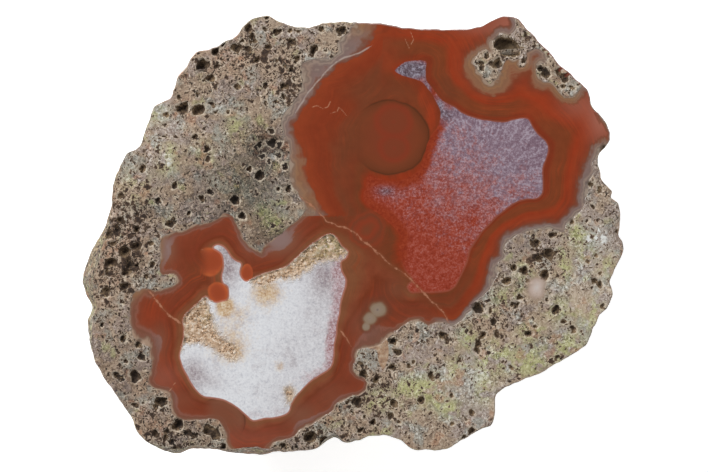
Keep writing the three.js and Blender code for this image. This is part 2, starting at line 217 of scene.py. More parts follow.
# %% Outlines on the face, in millimetres from its middle
AGATE_WALL = np.array([
    (0.9, 42.3), (9.3, 42.5), (16.9, 41.7), (24.5, 42.3), (28.3, 43.8), (33.1, 43.8), (39.7, 37.3),
    (46.4, 30.7), (47.3, 25.9), (48.7, 23.1), (50.2, 20.6), (50.2, 18.3), (48.5, 17), (47.5, 16.4),
    (46.6, 14.9), (45.8, 13.6), (46, 12.3), (45.4, 10.7), (45.2, 8.8), (44.7, 6.9), (44.3, 5.4),
    (42.9, 3.9), (41.8, 2.8), (40.9, 2), (40.3, 0.9), (39, 1.2), (37.6, 1.6), (35.9, 1.4),
    (34, 1), (32.5, 0.5), (31.2, -0.1), (30, -0.9), (29.3, -1.8), (29.1, -2.9), (29.3, -4.1),
    (28.3, -4.8), (27.7, -6), (28.1, -6.7), (27.7, -7.9), (27, -8.8), (26.4, -10), (25.8, -10.9),
    (24.5, -11.9), (23.6, -12.6), (23, -13.8), (21.9, -14.9), (20.7, -16.1), (19.8, -16.8),
    (17.9, -16.4), (16.2, -16.2), (15, -17), (14.1, -16.8), (12.7, -15.9), (11.2, -16.2),
    (9.7, -17.2), (8.4, -18), (7, -18.3), (5.7, -18.3), (4.4, -18.3), (3.2, -18.9), (1.9, -19.9),
    (0.8, -21.9), (0.8, -23.5), (0.2, -24.8), (0.2, -25.9), (0.9, -26.9), (2.1, -27.8), (1.3, -28.8),
    (-0.2, -29.7), (-1.5, -30.9), (-2.7, -32), (-3.4, -33.2), (-4.9, -34.1), (-6.3, -35.1),
    (-7.8, -36), (-9.7, -36.8), (-10.6, -37.9), (-12, -38.7), (-14.1, -39), (-15.2, -39.8),
    (-16, -40.8), (-17.7, -41.6), (-19.6, -41.6), (-21.5, -41.4), (-23.2, -40.4), (-23.8, -38.7),
    (-24.1, -37.1), (-24.5, -36), (-25.1, -35.1), (-26.2, -34.7), (-28.1, -34.9), (-30.2, -34.5),
    (-31.7, -33.9), (-32.9, -32.8), (-33.6, -31.4), (-34.4, -29.9), (-35.7, -29.4), (-37.2, -29),
    (-38.4, -28), (-38.6, -26.9), (-38.2, -25.6), (-37.8, -24), (-38.2, -22.5), (-38.2, -21),
    (-39.1, -19.9), (-40.3, -19.1), (-41.2, -17.8), (-41.8, -16.2), (-42, -14.3), (-42, -12.6),
    (-41.4, -11.1), (-40.2, -10.1), (-38.9, -9.8), (-37.4, -10), (-36, -10), (-34.9, -9.8),
    (-33.6, -9.3), (-33, -8.4), (-33.3, -7.5), (-34.1, -7.1), (-35, -7.3), (-35.8, -7.4),
    (-36.3, -6.8), (-36.4, -5.6), (-36.3, -4.4), (-36.3, -2.8), (-36.3, -1.4), (-36, -0.5),
    (-35, 0.2), (-33.4, 1), (-31.5, 1.4), (-30, 2.2), (-28.1, 2.4), (-26.4, 2.8), (-25.1, 3.7),
    (-23.8, 4.5), (-22.4, 3.9), (-21.7, 2.8), (-21.1, 1.2), (-20.5, -0.3), (-19.6, -1.6),
    (-18.4, -2.8), (-17.5, -3.9), (-16.9, -4.1), (-16.3, -3.3), (-16.2, -2.2), (-15.4, -1),
    (-14.1, -0.1), (-12.7, 1), (-11.6, 2.2), (-10.5, 3.1), (-9.1, 4.3), (-8.6, 5.4), (-9.1, 6.7),
    (-10.1, 8.1), (-11.4, 10.2), (-11.8, 13.4), (-11.6, 16.1), (-11.8, 17.8), (-12.7, 19.5),
    (-13.1, 21), (-13.1, 22.7), (-11.8, 24.4), (-10.5, 26.3), (-9.3, 28.6), (-9.5, 30.9),
    (-9.3, 33.2), (-6.3, 33.9), (-3.4, 34.1), (-2.3, 35.1), (-2.5, 36.4), (-1.7, 37.7), (-0.2, 39.2),
    (0.6, 40.8)])

LAVA_CORNER = np.array([
    (31.5, 43.4), (31.4, 40.8), (31.2, 38.9), (29.8, 38.3), (28.5, 38.7), (27.7, 37.7), (27, 37.1),
    (26.8, 36), (27.2, 34.9), (26.2, 34.9), (25.7, 35.4), (24.7, 34.9), (23.8, 34.1), (23, 33.2),
    (23.6, 32), (24.3, 30.9), (25.1, 29.9), (26.2, 29.2), (27.2, 29.4), (28.1, 30.3), (28.5, 31.4),
    (29.1, 32.6), (29.5, 33.5), (30.8, 33.3), (31.7, 33.5), (31.9, 32.4), (32.7, 32), (33.3, 32.8),
    (33.4, 33.9), (33.3, 34.9), (34.2, 35.4), (35.3, 35.8), (36.5, 35.2), (37.2, 34.3), (37.4, 33.3),
    (36.9, 32.8), (36.1, 33), (35.5, 32.4), (35.2, 31.3), (35.7, 30.3), (36.7, 29.5), (37.6, 29.4),
    (38.6, 29), (39.3, 28), (39.7, 27.3), (40.7, 26.5), (41.8, 26.5), (42.8, 27.1), (43.3, 28),
    (44.1, 28.8), (48.4, 30.5), (39.7, 41.2), (35, 45.4)])

LILAC_QUARTZ = np.array([
    (17.9, 25.4), (19.8, 24.4), (21.5, 23.3), (24.1, 22.3), (27, 21.8), (29.8, 21.8), (33.3, 22.3),
    (34.2, 21), (35.3, 19.7), (36.9, 18.1), (37.4, 17), (37.2, 15.3), (36.5, 13), (36.5, 10.5),
    (36.3, 8.3), (35.3, 7.3), (33.3, 7.1), (30.6, 6.2), (28.1, 4.3), (25.8, 2.2), (24.1, -0.1),
    (22.6, -2.2), (22, -4.5), (21.1, -6.6), (19.8, -9), (18.2, -10.2), (15.4, -10.5),
    (13.1, -10.4), (11.4, -10.5), (10.8, -9.6), (11.8, -8.1), (9.9, -5.4), (9.1, -2.6), (9.5, -0.1),
    (7.8, 2.2), (5.1, 4.3), (3, 5.8), (2.3, 7.7), (2.9, 9.2), (3.4, 11.7), (5.1, 11.1), (8.7, 10.5),
    (12.4, 12.3), (13.9, 14.9), (15, 18.9), (16.8, 21.6), (17, 23.8), (15.9, 25.9), (14.7, 27.9),
    (13.2, 29.5), (9.9, 30.7), (8.4, 31.6), (9.9, 32.8), (11, 33.3), (14.3, 33.3), (14.1, 32),
    (14.2, 29.8), (15.5, 28.1), (17, 26)])

WHITE_QUARTZ = np.array([
    (-25.5, -1.6), (-24.1, -2.2), (-23, -3.7), (-21.9, -4.7), (-20.9, -5.2), (-21.1, -6.6),
    (-20.5, -8.1), (-19.8, -8.6), (-18.8, -8.1), (-17.7, -7.5), (-16.5, -7.1), (-14.4, -6.4),
    (-12.5, -5.8), (-11.2, -4.8), (-9.7, -3.5), (-8.2, -2.2), (-6.7, -1), (-5.1, -0.1), (-3.8, 0.3),
    (-2.7, -0.7), (-1.9, -2), (-0.8, -2.9), (-1.1, -4.1), (-1.9, -4.8), (-1.9, -6.4), (-1.1, -8.3),
    (-1.5, -10.5), (-2.1, -13), (-2.5, -15.5), (-2.7, -17.8), (-3.2, -20.2), (-3.4, -22.9),
    (-4, -24.8), (-6.3, -26.5), (-8.9, -28.4), (-10.3, -29.9), (-11.4, -31.6), (-12, -33.3),
    (-13.7, -34.1), (-16.5, -34.5), (-18.8, -34.9), (-20, -33.9), (-21.5, -32.4), (-23.4, -31.3),
    (-26, -30.5), (-28.1, -30.3), (-29.6, -28.8), (-31.2, -26.5), (-32.1, -24.2), (-32.5, -22.7),
    (-32.1, -21.2), (-31.7, -19.3), (-31.7, -17.4), (-31.9, -15.9), (-31, -14.5), (-29.3, -13),
    (-27.6, -11.5), (-27, -12.1), (-25.8, -12.6), (-24.5, -12.3), (-23.4, -11.9), (-23.2, -10.5),
    (-23.6, -9.2), (-24.3, -8.8), (-24.5, -7.7), (-24.1, -5.6), (-24.3, -3.9), (-25.1, -2.8),
    (-26.2, -2)])

ROUGH_PATCHES = [
    np.array([(-19, -9), (-17.6, -9.6), (-14.4, -8.5), (-11.4, -8.4), (-8.4, -7), (-6.3, -5.2),
              (-2.7, -4.6), (-0.4, -4), (-0.6, -1.4), (-2, 0.3), (-3.8, 1.4), (-5.8, 0.8), (-7.4, -0.2),
              (-8.9, -1.4), (-10.4, -2.8), (-11.8, -4.1), (-12.9, -4.9), (-14.6, -5.5), (-16.6, -6.2),
              (-18.7, -7.6)]),
    np.array([(-33.2, -16.2), (-31.6, -13.6), (-29.6, -12), (-27.9, -11.2), (-26.6, -12.6),
              (-26, -15.2), (-25.5, -17.4), (-24.3, -19.3), (-22.2, -20.6), (-21.6, -22.2),
              (-22.2, -23.6), (-23.8, -23), (-26, -21.9), (-28.3, -20.6), (-30.7, -20.6),
              (-33.2, -22), (-33.2, -20.2), (-33, -18.6)]),
    np.array([(-12.9, -28.6), (-11.6, -28.4), (-10.3, -29.6), (-11, -31.4), (-11.7, -32.4),
              (-12.6, -31.3), (-12.4, -29.8)]),
]
print("points on the borders of agate and quartz", len(AGATE_WALL), len(LILAC_QUARTZ), len(WHITE_QUARTZ))

# %% [markdown]
# ## How far a point is from an outline
#
# Geometry nodes can measure this too, but here it is needed as numbers. So each outline is cut into short
# straight pieces, and the distance to each piece is worked out for all the points of the face together.


# %% Distances from the outlines
def signed_distance(points, outline, steps=3):
    """Distance in millimetres to a smooth closed outline, positive inside it and negative outside.

    The outline is cut into short straight pieces. The nearest place on a piece is its start plus a share
    of its run, kept between 0 and 1. A point is inside if a line to its right crosses an odd number of
    pieces.
    """
    curve = closed_curve(outline, steps)
    x, y = points[:, 0], points[:, 1]
    nearest = np.full(len(points), np.inf)
    inside = np.zeros(len(points), bool)
    for (ax, ay), (bx, by) in zip(curve, np.roll(curve, -1, axis=0)):
        run_x, run_y = bx - ax, by - ay
        share = np.clip(((x - ax) * run_x + (y - ay) * run_y) / (run_x**2 + run_y**2), 0, 1)
        nearest = np.minimum(nearest, (x - ax - share * run_x) ** 2 + (y - ay - share * run_y) ** 2)
        if run_y != 0:
            crosses = ((ay > y) != (by > y)) & (x < ax + run_x * (y - ay) / run_y)
            inside ^= crosses
    return np.where(inside, 1, -1) * np.sqrt(nearest)


middle_depth = signed_distance(np.zeros((1, 2)), AGATE_WALL)[0]
print("the middle of the face lies in the agate by", round(float(middle_depth), 1), "mm")

# %% [markdown]
# ## The sawn edge
#
# Seen from above, the cut face doesn't reach the widest outline everywhere. Where the lava broke away
# under the saw, a short slope shows between them. How far the slope is inset and how far it drops depend
# on the bearing: a small amount everywhere, and more at a few chips.

# %% The edge of the cut face
EDGE_INSET, EDGE_DROP = 0.35, 1.2
EDGE_CHIPS = [(-173.5, 7.5, 2.9, 6.0), (-161.5, 3.0, 1.0, 3.0), (-128.5, 3.4, 1.5, 4.0),
              (-114.5, 5.0, 1.9, 5.0), (-95.5, 2.6, 0.9, 3.0)]
RAGGED_SIZE, RAGGED_HEIGHT = 1.6, 0.16
LEAST_NIBBLE = 0.05


def edge_shape(bearing):
    """Inset and drop of the slope, in millimetres: bell curves round the bearing of each chip."""
    inset = np.full(bearing.shape, EDGE_INSET)
    drop = np.full(bearing.shape, EDGE_DROP)
    for chip_bearing, spread, chip_inset, chip_drop in EDGE_CHIPS:
        away = np.abs((np.degrees(bearing) - chip_bearing + 540) % 360 - 180)
        bell = np.exp(-((away / spread) ** 2))
        inset += chip_inset * bell
        drop += chip_drop * bell
    return inset, drop


def ragged_rim(bearing):
    """The outline radius, nibbled inwards by noise so that it is as uneven as broken lava."""
    radius = rim_radius(bearing)
    place = np.stack([radius * np.cos(bearing), radius * np.sin(bearing), 0 * bearing], axis=-1)
    nibble = 1 + layered_noise(place, RAGGED_SIZE, 2, salt=11)
    return radius - RAGGED_HEIGHT * np.maximum(nibble, 0) - LEAST_NIBBLE


print("widest slope of the sawn edge in mm", round(float(edge_shape(RIM_BEARING)[0].max()), 2))

# %% [markdown]
# ## A disc of squares
#
# Both surfaces are discs, one facing up and one down. A fan of wedges would crowd its faces into a point
# at the middle. A square grid bent into a disc has even faces all over: each square ring of the grid
# becomes a round ring, with its points at even bearings.


# %% The disc grid
def disc_grid(count):
    """Share of the way out (0 to 1), bearing, and faces of a square grid bent into a disc.

    On the four sides of a square ring, the bearing runs evenly through a quarter turn.
    """
    side = np.linspace(-1, 1, count + 1)
    u, v = np.meshgrid(side, side, indexing="ij")
    wide = np.abs(u) > np.abs(v)
    out = np.where(wide, u, v)
    across = np.where(wide, v, u)
    lean = math.pi / 4 * np.divide(across, out, out=np.zeros_like(out), where=out != 0)
    bearing = np.where(wide, lean, math.pi / 2 - lean) + np.where(out < 0, math.pi, 0)
    rows, columns = np.meshgrid(np.arange(count), np.arange(count), indexing="ij")
    first = (rows * (count + 1) + columns).ravel()
    faces = np.stack([first, first + count + 1, first + count + 2, first + 1], axis=1)
    return np.abs(out).ravel(), bearing.ravel(), faces


def rim_loop(count):
    """The outermost points in order, anticlockwise, of three sides of the grid.

    The side from 45 to 135 degrees isn't in it, so what is built on the loop runs straight across there.
    """
    number = np.arange((count + 1) ** 2).reshape(count + 1, count + 1)
    return np.concatenate([number[:-1, 0], number[-1, :-1], number[0, :0:-1]])


print("a disc of 4 by 4 squares has", len(disc_grid(4)[2]), "faces, its loop", len(rim_loop(4)), "points")

# %% [markdown]
# ## Gas bubbles cut open by the saw
#
# The larger bubbles have their own places, listed by radius. Their edges are made uneven by moving the
# points a little before the distance is taken. Finer bubbles come from the cells of space above, wherever
# there is lava.

# %% Places of the larger bubbles by radius, in millimetres
BUBBLES = {
    0.3: [(35, 36.2)],
    0.35: [(11.8, -23.7), (32.3, 32.4), (36.5, 35.4)],
    0.4: [(-0.8, 38.5), (-4.9, 35.1), (-14.1, 33.2), (-11.2, 30.1), (-12.5, 32.2), (-35.7, 21.2),
          (-23.6, 23.8), (-27.7, 29.7), (-47.5, -0.5), (-39.1, -31.4), (9.1, -35.1), (37.4, -12.1),
          (38, -10.9), (23.9, 33), (32.7, 36), (37.4, 34.7), (43, 28.9), (-15.5, 14.2)],
    0.45: [(-10.1, 38.7), (-10.5, -40.2), (2.7, -34.1), (44.7, -4.8), (32.9, 33.5), (42, 28.2)],
    0.5: [(-16, 41.7), (-16.5, 39.4), (-11.6, 39), (-12.9, 26.7), (-16.2, 25.2), (-32.5, 26.7),
          (-13.9, 9), (-31, 4.5), (-43.3, -12.6), (-37.8, -1), (-42.9, -23.7), (19.2, -30.5),
          (19, -35.4), (35.2, -17), (47.3, -7.1), (47.9, -13.4), (46, 5.6), (44.8, 2.9), (39.1, -3.1),
          (25.5, 34.5), (33.1, 38.5), (40.2, 28.6), (-13.8, 15.4)],
    0.55: [(-25.5, 32.6), (-39, -7.5), (11, -24.6), (47.3, 8.8), (-15.2, 20.2)],
    0.6: [(-20.9, 37.3), (-5.7, 39.2), (-11.4, 32), (-11.2, 36.6), (-16, 28.6), (-21.5, 28.6),
          (-29.5, 19.1), (-35, 23.3), (-19.6, 12.6), (-26.6, 8.3), (-36.7, 6.7), (-33.4, 9.6),
          (-43.5, 7.7), (-45.2, -1.2), (-47.3, -16.6), (-31.4, -37.5), (-35, -37.1), (-41, -32.2),
          (-34, -39), (-37.2, -40), (1.7, -36.8), (-2.1, -38.7), (23, -33.5), (26.4, -14),
          (27.7, -18.7), (30.6, -12.8), (31.6, -12.9), (46.2, -8.5), (40.5, -16.4), (42.4, -17.6),
          (45.6, 9.8), (26.6, 33), (24.7, 32.9), (24.8, 32), (18.4, -19.7), (-13.6, 17.5),
          (-16.8, 15.4), (-12.6, 13.4)],
    0.62: [(7.6, -33.9), (42, 2.8)],
    0.65: [(24.9, -19.1)],
    0.68: [(38.4, 0.3)],
    0.7: [(-19.6, 35.8), (-18.6, 38.3), (-10.3, 33.7), (-15.8, 36.2), (-27.2, 16.6), (-20.7, 3.9),
          (-44.3, 1.4), (-38, -5.2), (-49.3, -12.4), (-30, -37.7), (-40.1, -20.4), (8.2, -31.8),
          (27.2, -16.4), (31.9, -11.5), (47.3, -9.2), (39.3, -23.1), (-17.4, 17.4)],
    0.75: [(-24.3, 36.8), (-19.4, 39.6), (-13.9, 39), (-18.1, 33.5), (-11.8, 9), (-28.3, 7.1),
           (-39.7, 13), (-43.7, 3.1), (-37.2, -37.3), (-44.5, -26.5), (-24.3, -39.8), (-12.9, -40),
           (4.8, -27.3), (4.2, -35.2), (13.5, -31.1), (8, -24.8), (8.9, -21.9), (15.2, -26.3),
           (23.9, -21.6), (21.7, -38.3), (23, -37.1), (30.8, -6.2), (25.1, -18.9), (35.9, -4.1),
           (35, -1.2), (33.6, -18.3), (24.4, -20.4)],
    0.8: [(-43.3, -19.3), (36.2, 31.7), (39.6, 31.1), (47.7, 16.9)],
    0.85: [(-26.4, 30.1), (-1.9, 39), (-34.6, 2.4), (-42.8, -6.9), (-46.6, -10.5), (2.5, -26.1),
           (29.8, -8.6), (17.6, -18.9)],
    0.9: [(-42.8, -9.4), (-25.8, -37.7), (39.1, -14), (36.9, 30.8), (40.6, 30.2), (8, -19.8),
          (-15.4, 17.9)],
    0.95: [(-25.7, 35.1), (-21.7, 35.6), (-7, 35.6), (-17.5, 11.5), (-22.2, 6.9), (-46.4, 0.5),
           (-40.9, -1.8), (-42.2, -5.2), (1.1, -31.6), (37.1, -7.3)],
    1: [(-27.2, -36.8), (32.9, -6.7), (27.7, 33)],
    1.05: [(-45.6, -5), (24.1, -13.6), (37.6, -3.3)],
    1.1: [(-4.9, -38.9)],
    1.15: [(-41, -26.5), (-36.1, -31.4), (-32.9, -35.8)],
    1.2: [(-28.9, 24.2)],
    1.3: [(-31.9, 24.4), (-28.1, 32.4), (-42.9, -3.1), (-7.8, -38.1)],
    1.4: [(-33.4, -40.9)],
    1.7: [(28.9, 36.5), (30.5, 35.7)],
    2: [(29.7, 36)],
}

# The dusky hollows are shallow in the mesh; the dark over them is painted shade from a light patch, with
# brown from a rust patch.
DUSKY_HOLLOWS = [(-15.2, 16.4, 2.9, 1.0), (-13.6, 15.2, 2.0, 0.8), (-16.6, 17.6, 1.6, 0.9)]
print("bubbles", sum(map(len, BUBBLES.values())), "with radii from", min(BUBBLES), "to", max(BUBBLES))

# %% [markdown]
# ## From bubbles to hollows
#
# A hollow could be cut out with a Boolean modifier and a ball. With two hundred balls that is slow and leaves
# thin faces, so the points of the face are lowered instead. A point keeps its level too: how far it lies
# inside the nearest bubble. The material reads the level to paint shade into the hollow, darker towards its
# middle, and to give it a pale rim, partly a paler lining and partly a painted highlight on its edge.

# %% Hollows of the face
FAR_OUTSIDE = -9.0


def cut_bubbles(points, bubbles):
    """Depth in the listed bubbles, and the level: radius less distance, positive inside a bubble.

    The depth is that of a ball cut through its middle, so that the walls are steep: the square root of
    radius squared less distance squared.
    """
    depth, level = np.zeros(len(points)), np.full(len(points), FAR_OUTSIDE)
    for radius, places in bubbles.items():
        for x, y in places:
            away = np.hypot(points[:, 0] - x, points[:, 1] - y)
            depth = np.maximum(depth, np.sqrt(np.maximum(radius**2 - away**2, 0)))
            level = np.maximum(level, radius - away)
    return depth, level


def soft_patches(points, patches):
    """Sum of soft patches: strength times a bell curve of the distance over the two half widths."""
    total = np.zeros(len(points))
    for x, y, wide, high, strength in patches:
        away = ((points[:, 0] - x) / wide) ** 2 + ((points[:, 1] - y) / high) ** 2
        total += strength * np.exp(-away)
    return total


PLAIN_POROUS = 0.3
SHALLOWER_WHERE_SOLID = 0.5
POROUS_PATCHES = [
    (-44, -2, 6, 12, 0.9), (37, -4, 3.5, 3, 0.8), (4, -29, 6, 6, 0.5), (-19, 34, 9, 6, 0.5),
    (-11, 29, 3, 5, 0.7), (-34, -37, 7, 5, 0.6), (33, 36, 5, 4, 0.5), (22, -32, 6, 5, -0.25),
    (43, -14, 5, 8, -0.2), (-5, -38, 9, 3, 0.5), (26, -15, 4, 5, 0.4)]


def face_hollows(points, wall):
    """Depth and level of every bubble in the face, large and fine."""
    lava = ease(-wall, 0.2, 0.7)
    bent = wobble(wobble(points, 1.3, 0.42, salt=41), 0.55, 0.2, salt=44)
    depth, level = cut_bubbles(bent, BUBBLES)
    solid_share = 1 - np.clip(PLAIN_POROUS + soft_patches(points, POROUS_PATCHES), 0, 1)
    fine = bubble_depth(bent, cell=2.0, smallest=0.25, largest=0.95, share=0.5, salt=51)
    fine = np.maximum(fine - SHALLOWER_WHERE_SOLID * solid_share, 0) * lava
    depth = np.maximum(depth, 1.2 * fine)
    level = np.maximum(level, np.where(fine > 0, 0.6 * fine, -0.5))
    for x, y, radius, hollow in DUSKY_HOLLOWS:
        away = np.hypot(bent[:, 0] - x, bent[:, 1] - y)
        depth = np.maximum(depth, hollow * ease(radius - away, 0, radius * 0.5))
    return depth, np.clip(level, -1.5, 1.5)


print("patches with more or fewer pits", len(POROUS_PATCHES))

# %% [markdown]
# ## The rough back
#
# From the outline the surface turns down and in to the middle of the back. A ball is too even for a
# broken rock, and sculpting can't be repeated. Here the section is a superellipse, which is squarer than
# an ellipse, planes break it off flat in places, and waves of several lengths raise it into lumps with
# scoops between, worn level where it rests.

# %% Numbers of the rough back
REST_DEPTH = 1.5
BACK_FULLNESS, FULLNESS_WAVES = 0.58, ((2, 0.7, 0.1), (3, 2.0, 0.08))
BACK_HALF_WIDTH, BACK_HALF_DEPTH = 49.0, 41.0
LUMP_WAVES = [((0.13, 0.05, 0.09), 0.4, 1.2), ((-0.07, 0.15, 0.06), 2.1, 1.1),
              ((0.16, -0.17, 0.21), 4.4, 0.8), ((0.36, 0.14, -0.22), 1.2, 0.4),
              ((-0.19, 0.38, 0.27), 5.3, 0.4), ((0.07, 0.09, 0.46), 0.2, 0.45)]
SCOOP_WAVES = [((0.11, 0.07, -0.12), 0.9, 1.0), ((-0.09, 0.12, 0.14), 2.8, 0.9),
               ((0.22, -0.16, 0.19), 1.7, 0.6), ((-0.25, -0.21, 0.24), 0.3, 0.5),
               ((0.06, -0.05, 0.27), 1.1, 0.7)]
BROKEN_FACETS = [
    (8, 42, 45.5), (62, 24, 43.5), (104, 50, 42), (158, 30, 45.5), (204, 49, 46), (252, 22, 41.5),
    (300, 46, 42.5), (335, 28, 44)]

print("waves", len(LUMP_WAVES) + len(SCOOP_WAVES), "broken facets", len(BROKEN_FACETS))

# %% [markdown]
# ## The section of the back
#
# A point of the back starts on the plain section, is pulled back where a break cuts it off, and is then
# raised or lowered. The waves come last, so that the breaks are flat on the whole but not smooth.

# %% The shape of the rough back
def lump_height(points):
    """Sum of sine waves for round lumps, plus one less twice the size of a sine for sharp-crested scoops."""
    lumps = sum(height * np.sin(points @ np.array(along) + phase) for along, phase, height in LUMP_WAVES)
    scoops = sum(height * (1 - 2 * np.abs(np.sin(points @ np.array(along) + phase)))
                 for along, phase, height in SCOOP_WAVES)
    return lumps + scoops


def break_off(points, share):
    """Pulls the points back towards the planes of the broken facets, by a share of what reaches past."""
    for bearing, slope, reach in BROKEN_FACETS:
        turn, tilt = math.radians(bearing), math.radians(slope)
        across = math.cos(tilt)
        normal = np.array([math.cos(turn) * across, math.sin(turn) * across, -math.sin(tilt)])
        excess = np.maximum((points - (0, 0, FACE_HEIGHT)) @ normal - reach, 0)
        points = points - (excess * share)[:, None] * normal
    return points


def rough_surface(bearing, fraction):
    """Points of the rough outside and the directions out of it.

    The fraction goes from 0 at the outline to 1 under the middle, which is a quarter turn of the section.
    The distance from the middle is the radius times a power of the turn's cosine, and the height falls
    with its sine. The radius blends from the outline to a plain oval on the way down.
    """
    turn = fraction * math.pi / 2
    oval = 1 / np.hypot(np.cos(bearing) / BACK_HALF_WIDTH, np.sin(bearing) / BACK_HALF_DEPTH)
    blend = ease(fraction, 0, 0.6)
    radius = ragged_rim(bearing) * (1 - blend) + oval * blend
    waves = (height * np.sin(count * bearing + phase) for count, phase, height in FULLNESS_WAVES)
    fullness = sum(waves, BACK_FULLNESS)
    across = radius * np.cos(turn) ** fullness
    top = FACE_HEIGHT - edge_shape(bearing)[1]
    east, north, down = np.cos(bearing), np.sin(bearing), np.sin(turn)
    points = np.stack([east * across, north * across, top - (top + REST_DEPTH) * down], axis=1)
    points = break_off(points, ease(fraction, 0, 0.3))
    outward = np.stack([east * np.cos(turn), north * np.cos(turn), -down], axis=1)
    points = points + outward * (lump_height(points) * down**0.6)[:, None]
    return points, outward


under_middle = rough_surface(np.zeros(1), np.ones(1))[0][0]
print("height under the middle before it is worn level, in mm", round(float(under_middle[2]), 2))

# %% [markdown]
# ## From arrays to a mesh
#
# A mesh object is made in the same way for both surfaces: points in metres, faces, smooth shading with
# sharp steps, and one named number per point for each map. The maps are what the materials read later.


# %% Mesh maker
SHARP_ANGLE = math.radians(52)


def mesh_piece(name, points, faces, maps, material):
    """A mesh object with its place in its mesh, and each map as an attribute of its points."""
    mesh = bpy.data.meshes.new(name)
    mesh.from_pydata((points * MM).tolist(), [], faces)
    mesh.validate()
    mesh.shade_smooth()
    mesh.set_sharp_from_angle(angle=SHARP_ANGLE)
    mesh.materials.append(material)
    for label, values in maps.items():
        layer = mesh.attributes.new(label, "FLOAT", "POINT")
        layer.data.foreach_set("value", np.asarray(values, np.float32))
    piece = bpy.data.objects.new(name, mesh)
    bpy.context.scene.collection.objects.link(piece)
    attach(piece, "root")
    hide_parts(NODE)
    print(name, len(points), "points", len(faces), "faces")
    return piece


def close_disc(points, faces, loop, inset, depth, upward):
    """Adds a hidden inner wall and floor to a disc, along its rim loop.

    A second ring stands inside the loop by the inset and below the face by the depth, and one point in the
    middle of that level ends the floor. Where the loop leaves the rim, the disc isn't closed.
    """
    count = len(points)
    rim = points[loop]
    reach = np.linalg.norm(rim[:, :2], axis=1, keepdims=True)
    ring = np.column_stack([rim[:, :2] * (1 - inset / reach), np.full(len(loop), FACE_HEIGHT - depth)])
    middle = np.array([[0.0, 0.0, FACE_HEIGHT - depth]])
    inner = count + np.arange(len(loop))
    after, inner_after = np.roll(loop, -1), np.roll(inner, -1)
    centre = np.full(len(loop), count + len(loop))
    wall = np.stack([loop, inner, inner_after, after], axis=1)
    floor = np.stack([inner, centre, inner_after], axis=1)
    if not upward:
        wall, floor = wall[:, ::-1], floor[:, ::-1]
    return np.vstack([points, ring, middle]), faces.tolist() + wall.tolist() + floor.tolist()


print("edges sharper than", round(math.degrees(SHARP_ANGLE)), "degrees stay sharp")

# %% [markdown]
# ## Short calls for shader nodes
#
# A material here is a network of many small nodes. Written out in full, each node takes several lines, so
# a small class gives each kind a short call. A value may be a number, which is set on the socket, or the
# output of another node, which is linked.


# %% Node helper
def paint(red, green, blue):
    """A screen colour from 0 to 255 as the linear colour that a shader works with."""
    screen = np.array([red, green, blue]) / 255
    linear = np.where(screen <= 0.04045, screen / 12.92, ((screen + 0.055) / 1.055) ** 2.4)
    return (*linear.tolist(), 1.0)


class Net:
    """A node tree with a short call for each kind of node used here."""

    def __init__(self, tree):
        self.tree = tree

    def node(self, kind, **settings):
        made = self.tree.nodes.new(kind)
        for label, value in settings.items():
            setattr(made, label, value)
        return made

    def feed(self, socket, value):
        if isinstance(value, bpy.types.NodeSocket):
            self.tree.links.new(value, socket)
        else:
            socket.default_value = value

    def calc(self, operation, *values, clamp=False):
        made = self.node("ShaderNodeMath", operation=operation, use_clamp=clamp)
        for socket, value in zip(made.inputs, values):
            self.feed(socket, value)
        return made.outputs[0]

    def times(self, *values, clamp=False):
        return self.calc("MULTIPLY", *values, clamp=clamp)

    def plus(self, *values, clamp=False):
        return self.calc("ADD", *values, clamp=clamp)

    def minus(self, *values):
        return self.calc("SUBTRACT", *values)

    def swing(self, pattern, height):
        """A pattern from 0 to 1 as its distance above or below a half, times a height."""
        return self.times(self.minus(pattern, 0.5), height)

    def vector(self, operation, first, second):
        made = self.node("ShaderNodeVectorMath", operation=operation)
        self.feed(made.inputs[0], first)
        self.feed(made.inputs["Scale"] if operation == "SCALE" else made.inputs[1], second)
        return made.outputs[0]

    def noise(self, place, size, detail=2.0, roughness=0.5, output="Fac"):
        made = self.node("ShaderNodeTexNoise")
        self.feed(made.inputs["Vector"], place)
        self.feed(made.inputs["Scale"], 1 / size)
        self.feed(made.inputs["Detail"], detail)
        self.feed(made.inputs["Roughness"], roughness)
        return made.outputs[output]

    def cells(self, place, size, output="Distance", feature="F1"):
        made = self.node("ShaderNodeTexVoronoi", feature=feature)
        self.feed(made.inputs["Vector"], place)
        self.feed(made.inputs["Scale"], 1 / size)
        return made.outputs[output]

    def step(self, value, low, high):
        """0 below low, 1 above high, eased between. Low may be above high."""
        made = self.node("ShaderNodeMapRange", interpolation_type="SMOOTHSTEP")
        for label, number in (("Value", value), ("From Min", low), ("From Max", high)):
            self.feed(made.inputs[label], number)
        return made.outputs["Result"]

    def ramp(self, value, stops):
        """A colour for the value. Each stop is a place from 0 to 1 and a screen colour."""
        made = self.node("ShaderNodeValToRGB")
        elements = made.color_ramp.elements
        for number, (place, *tone) in enumerate(stops):
            spot = elements[number] if number < 2 else elements.new(place)
            spot.position, spot.color = place, paint(*tone)
        self.feed(made.inputs["Fac"], value)
        return made.outputs["Color"]

    def blend(self, share, first, second):
        made = self.node("ShaderNodeMix", data_type="RGBA", blend_type="MIX")
        for number, value in ((0, share), (6, first), (7, second)):
            self.feed(made.inputs[number], value)
        return made.outputs[2]

    def read(self, label):
        return self.node("ShaderNodeAttribute", attribute_name=label).outputs["Fac"]


def new_group(name, numbers, outputs):
    """An empty node group with a place and numbers as inputs: its net, and what its two end nodes offer."""
    tree = bpy.data.node_groups.new(name, "ShaderNodeTree")
    inputs = {"Place": "Vector", **dict.fromkeys(numbers, "Float")}
    for direction, sockets in (("INPUT", inputs), ("OUTPUT", outputs)):
        for label, kind in sockets.items():
            tree.interface.new_socket(name=label, in_out=direction, socket_type="NodeSocket" + kind)
    net = Net(tree)
    return net, net.node("NodeGroupInput").outputs, net.node("NodeGroupOutput").inputs


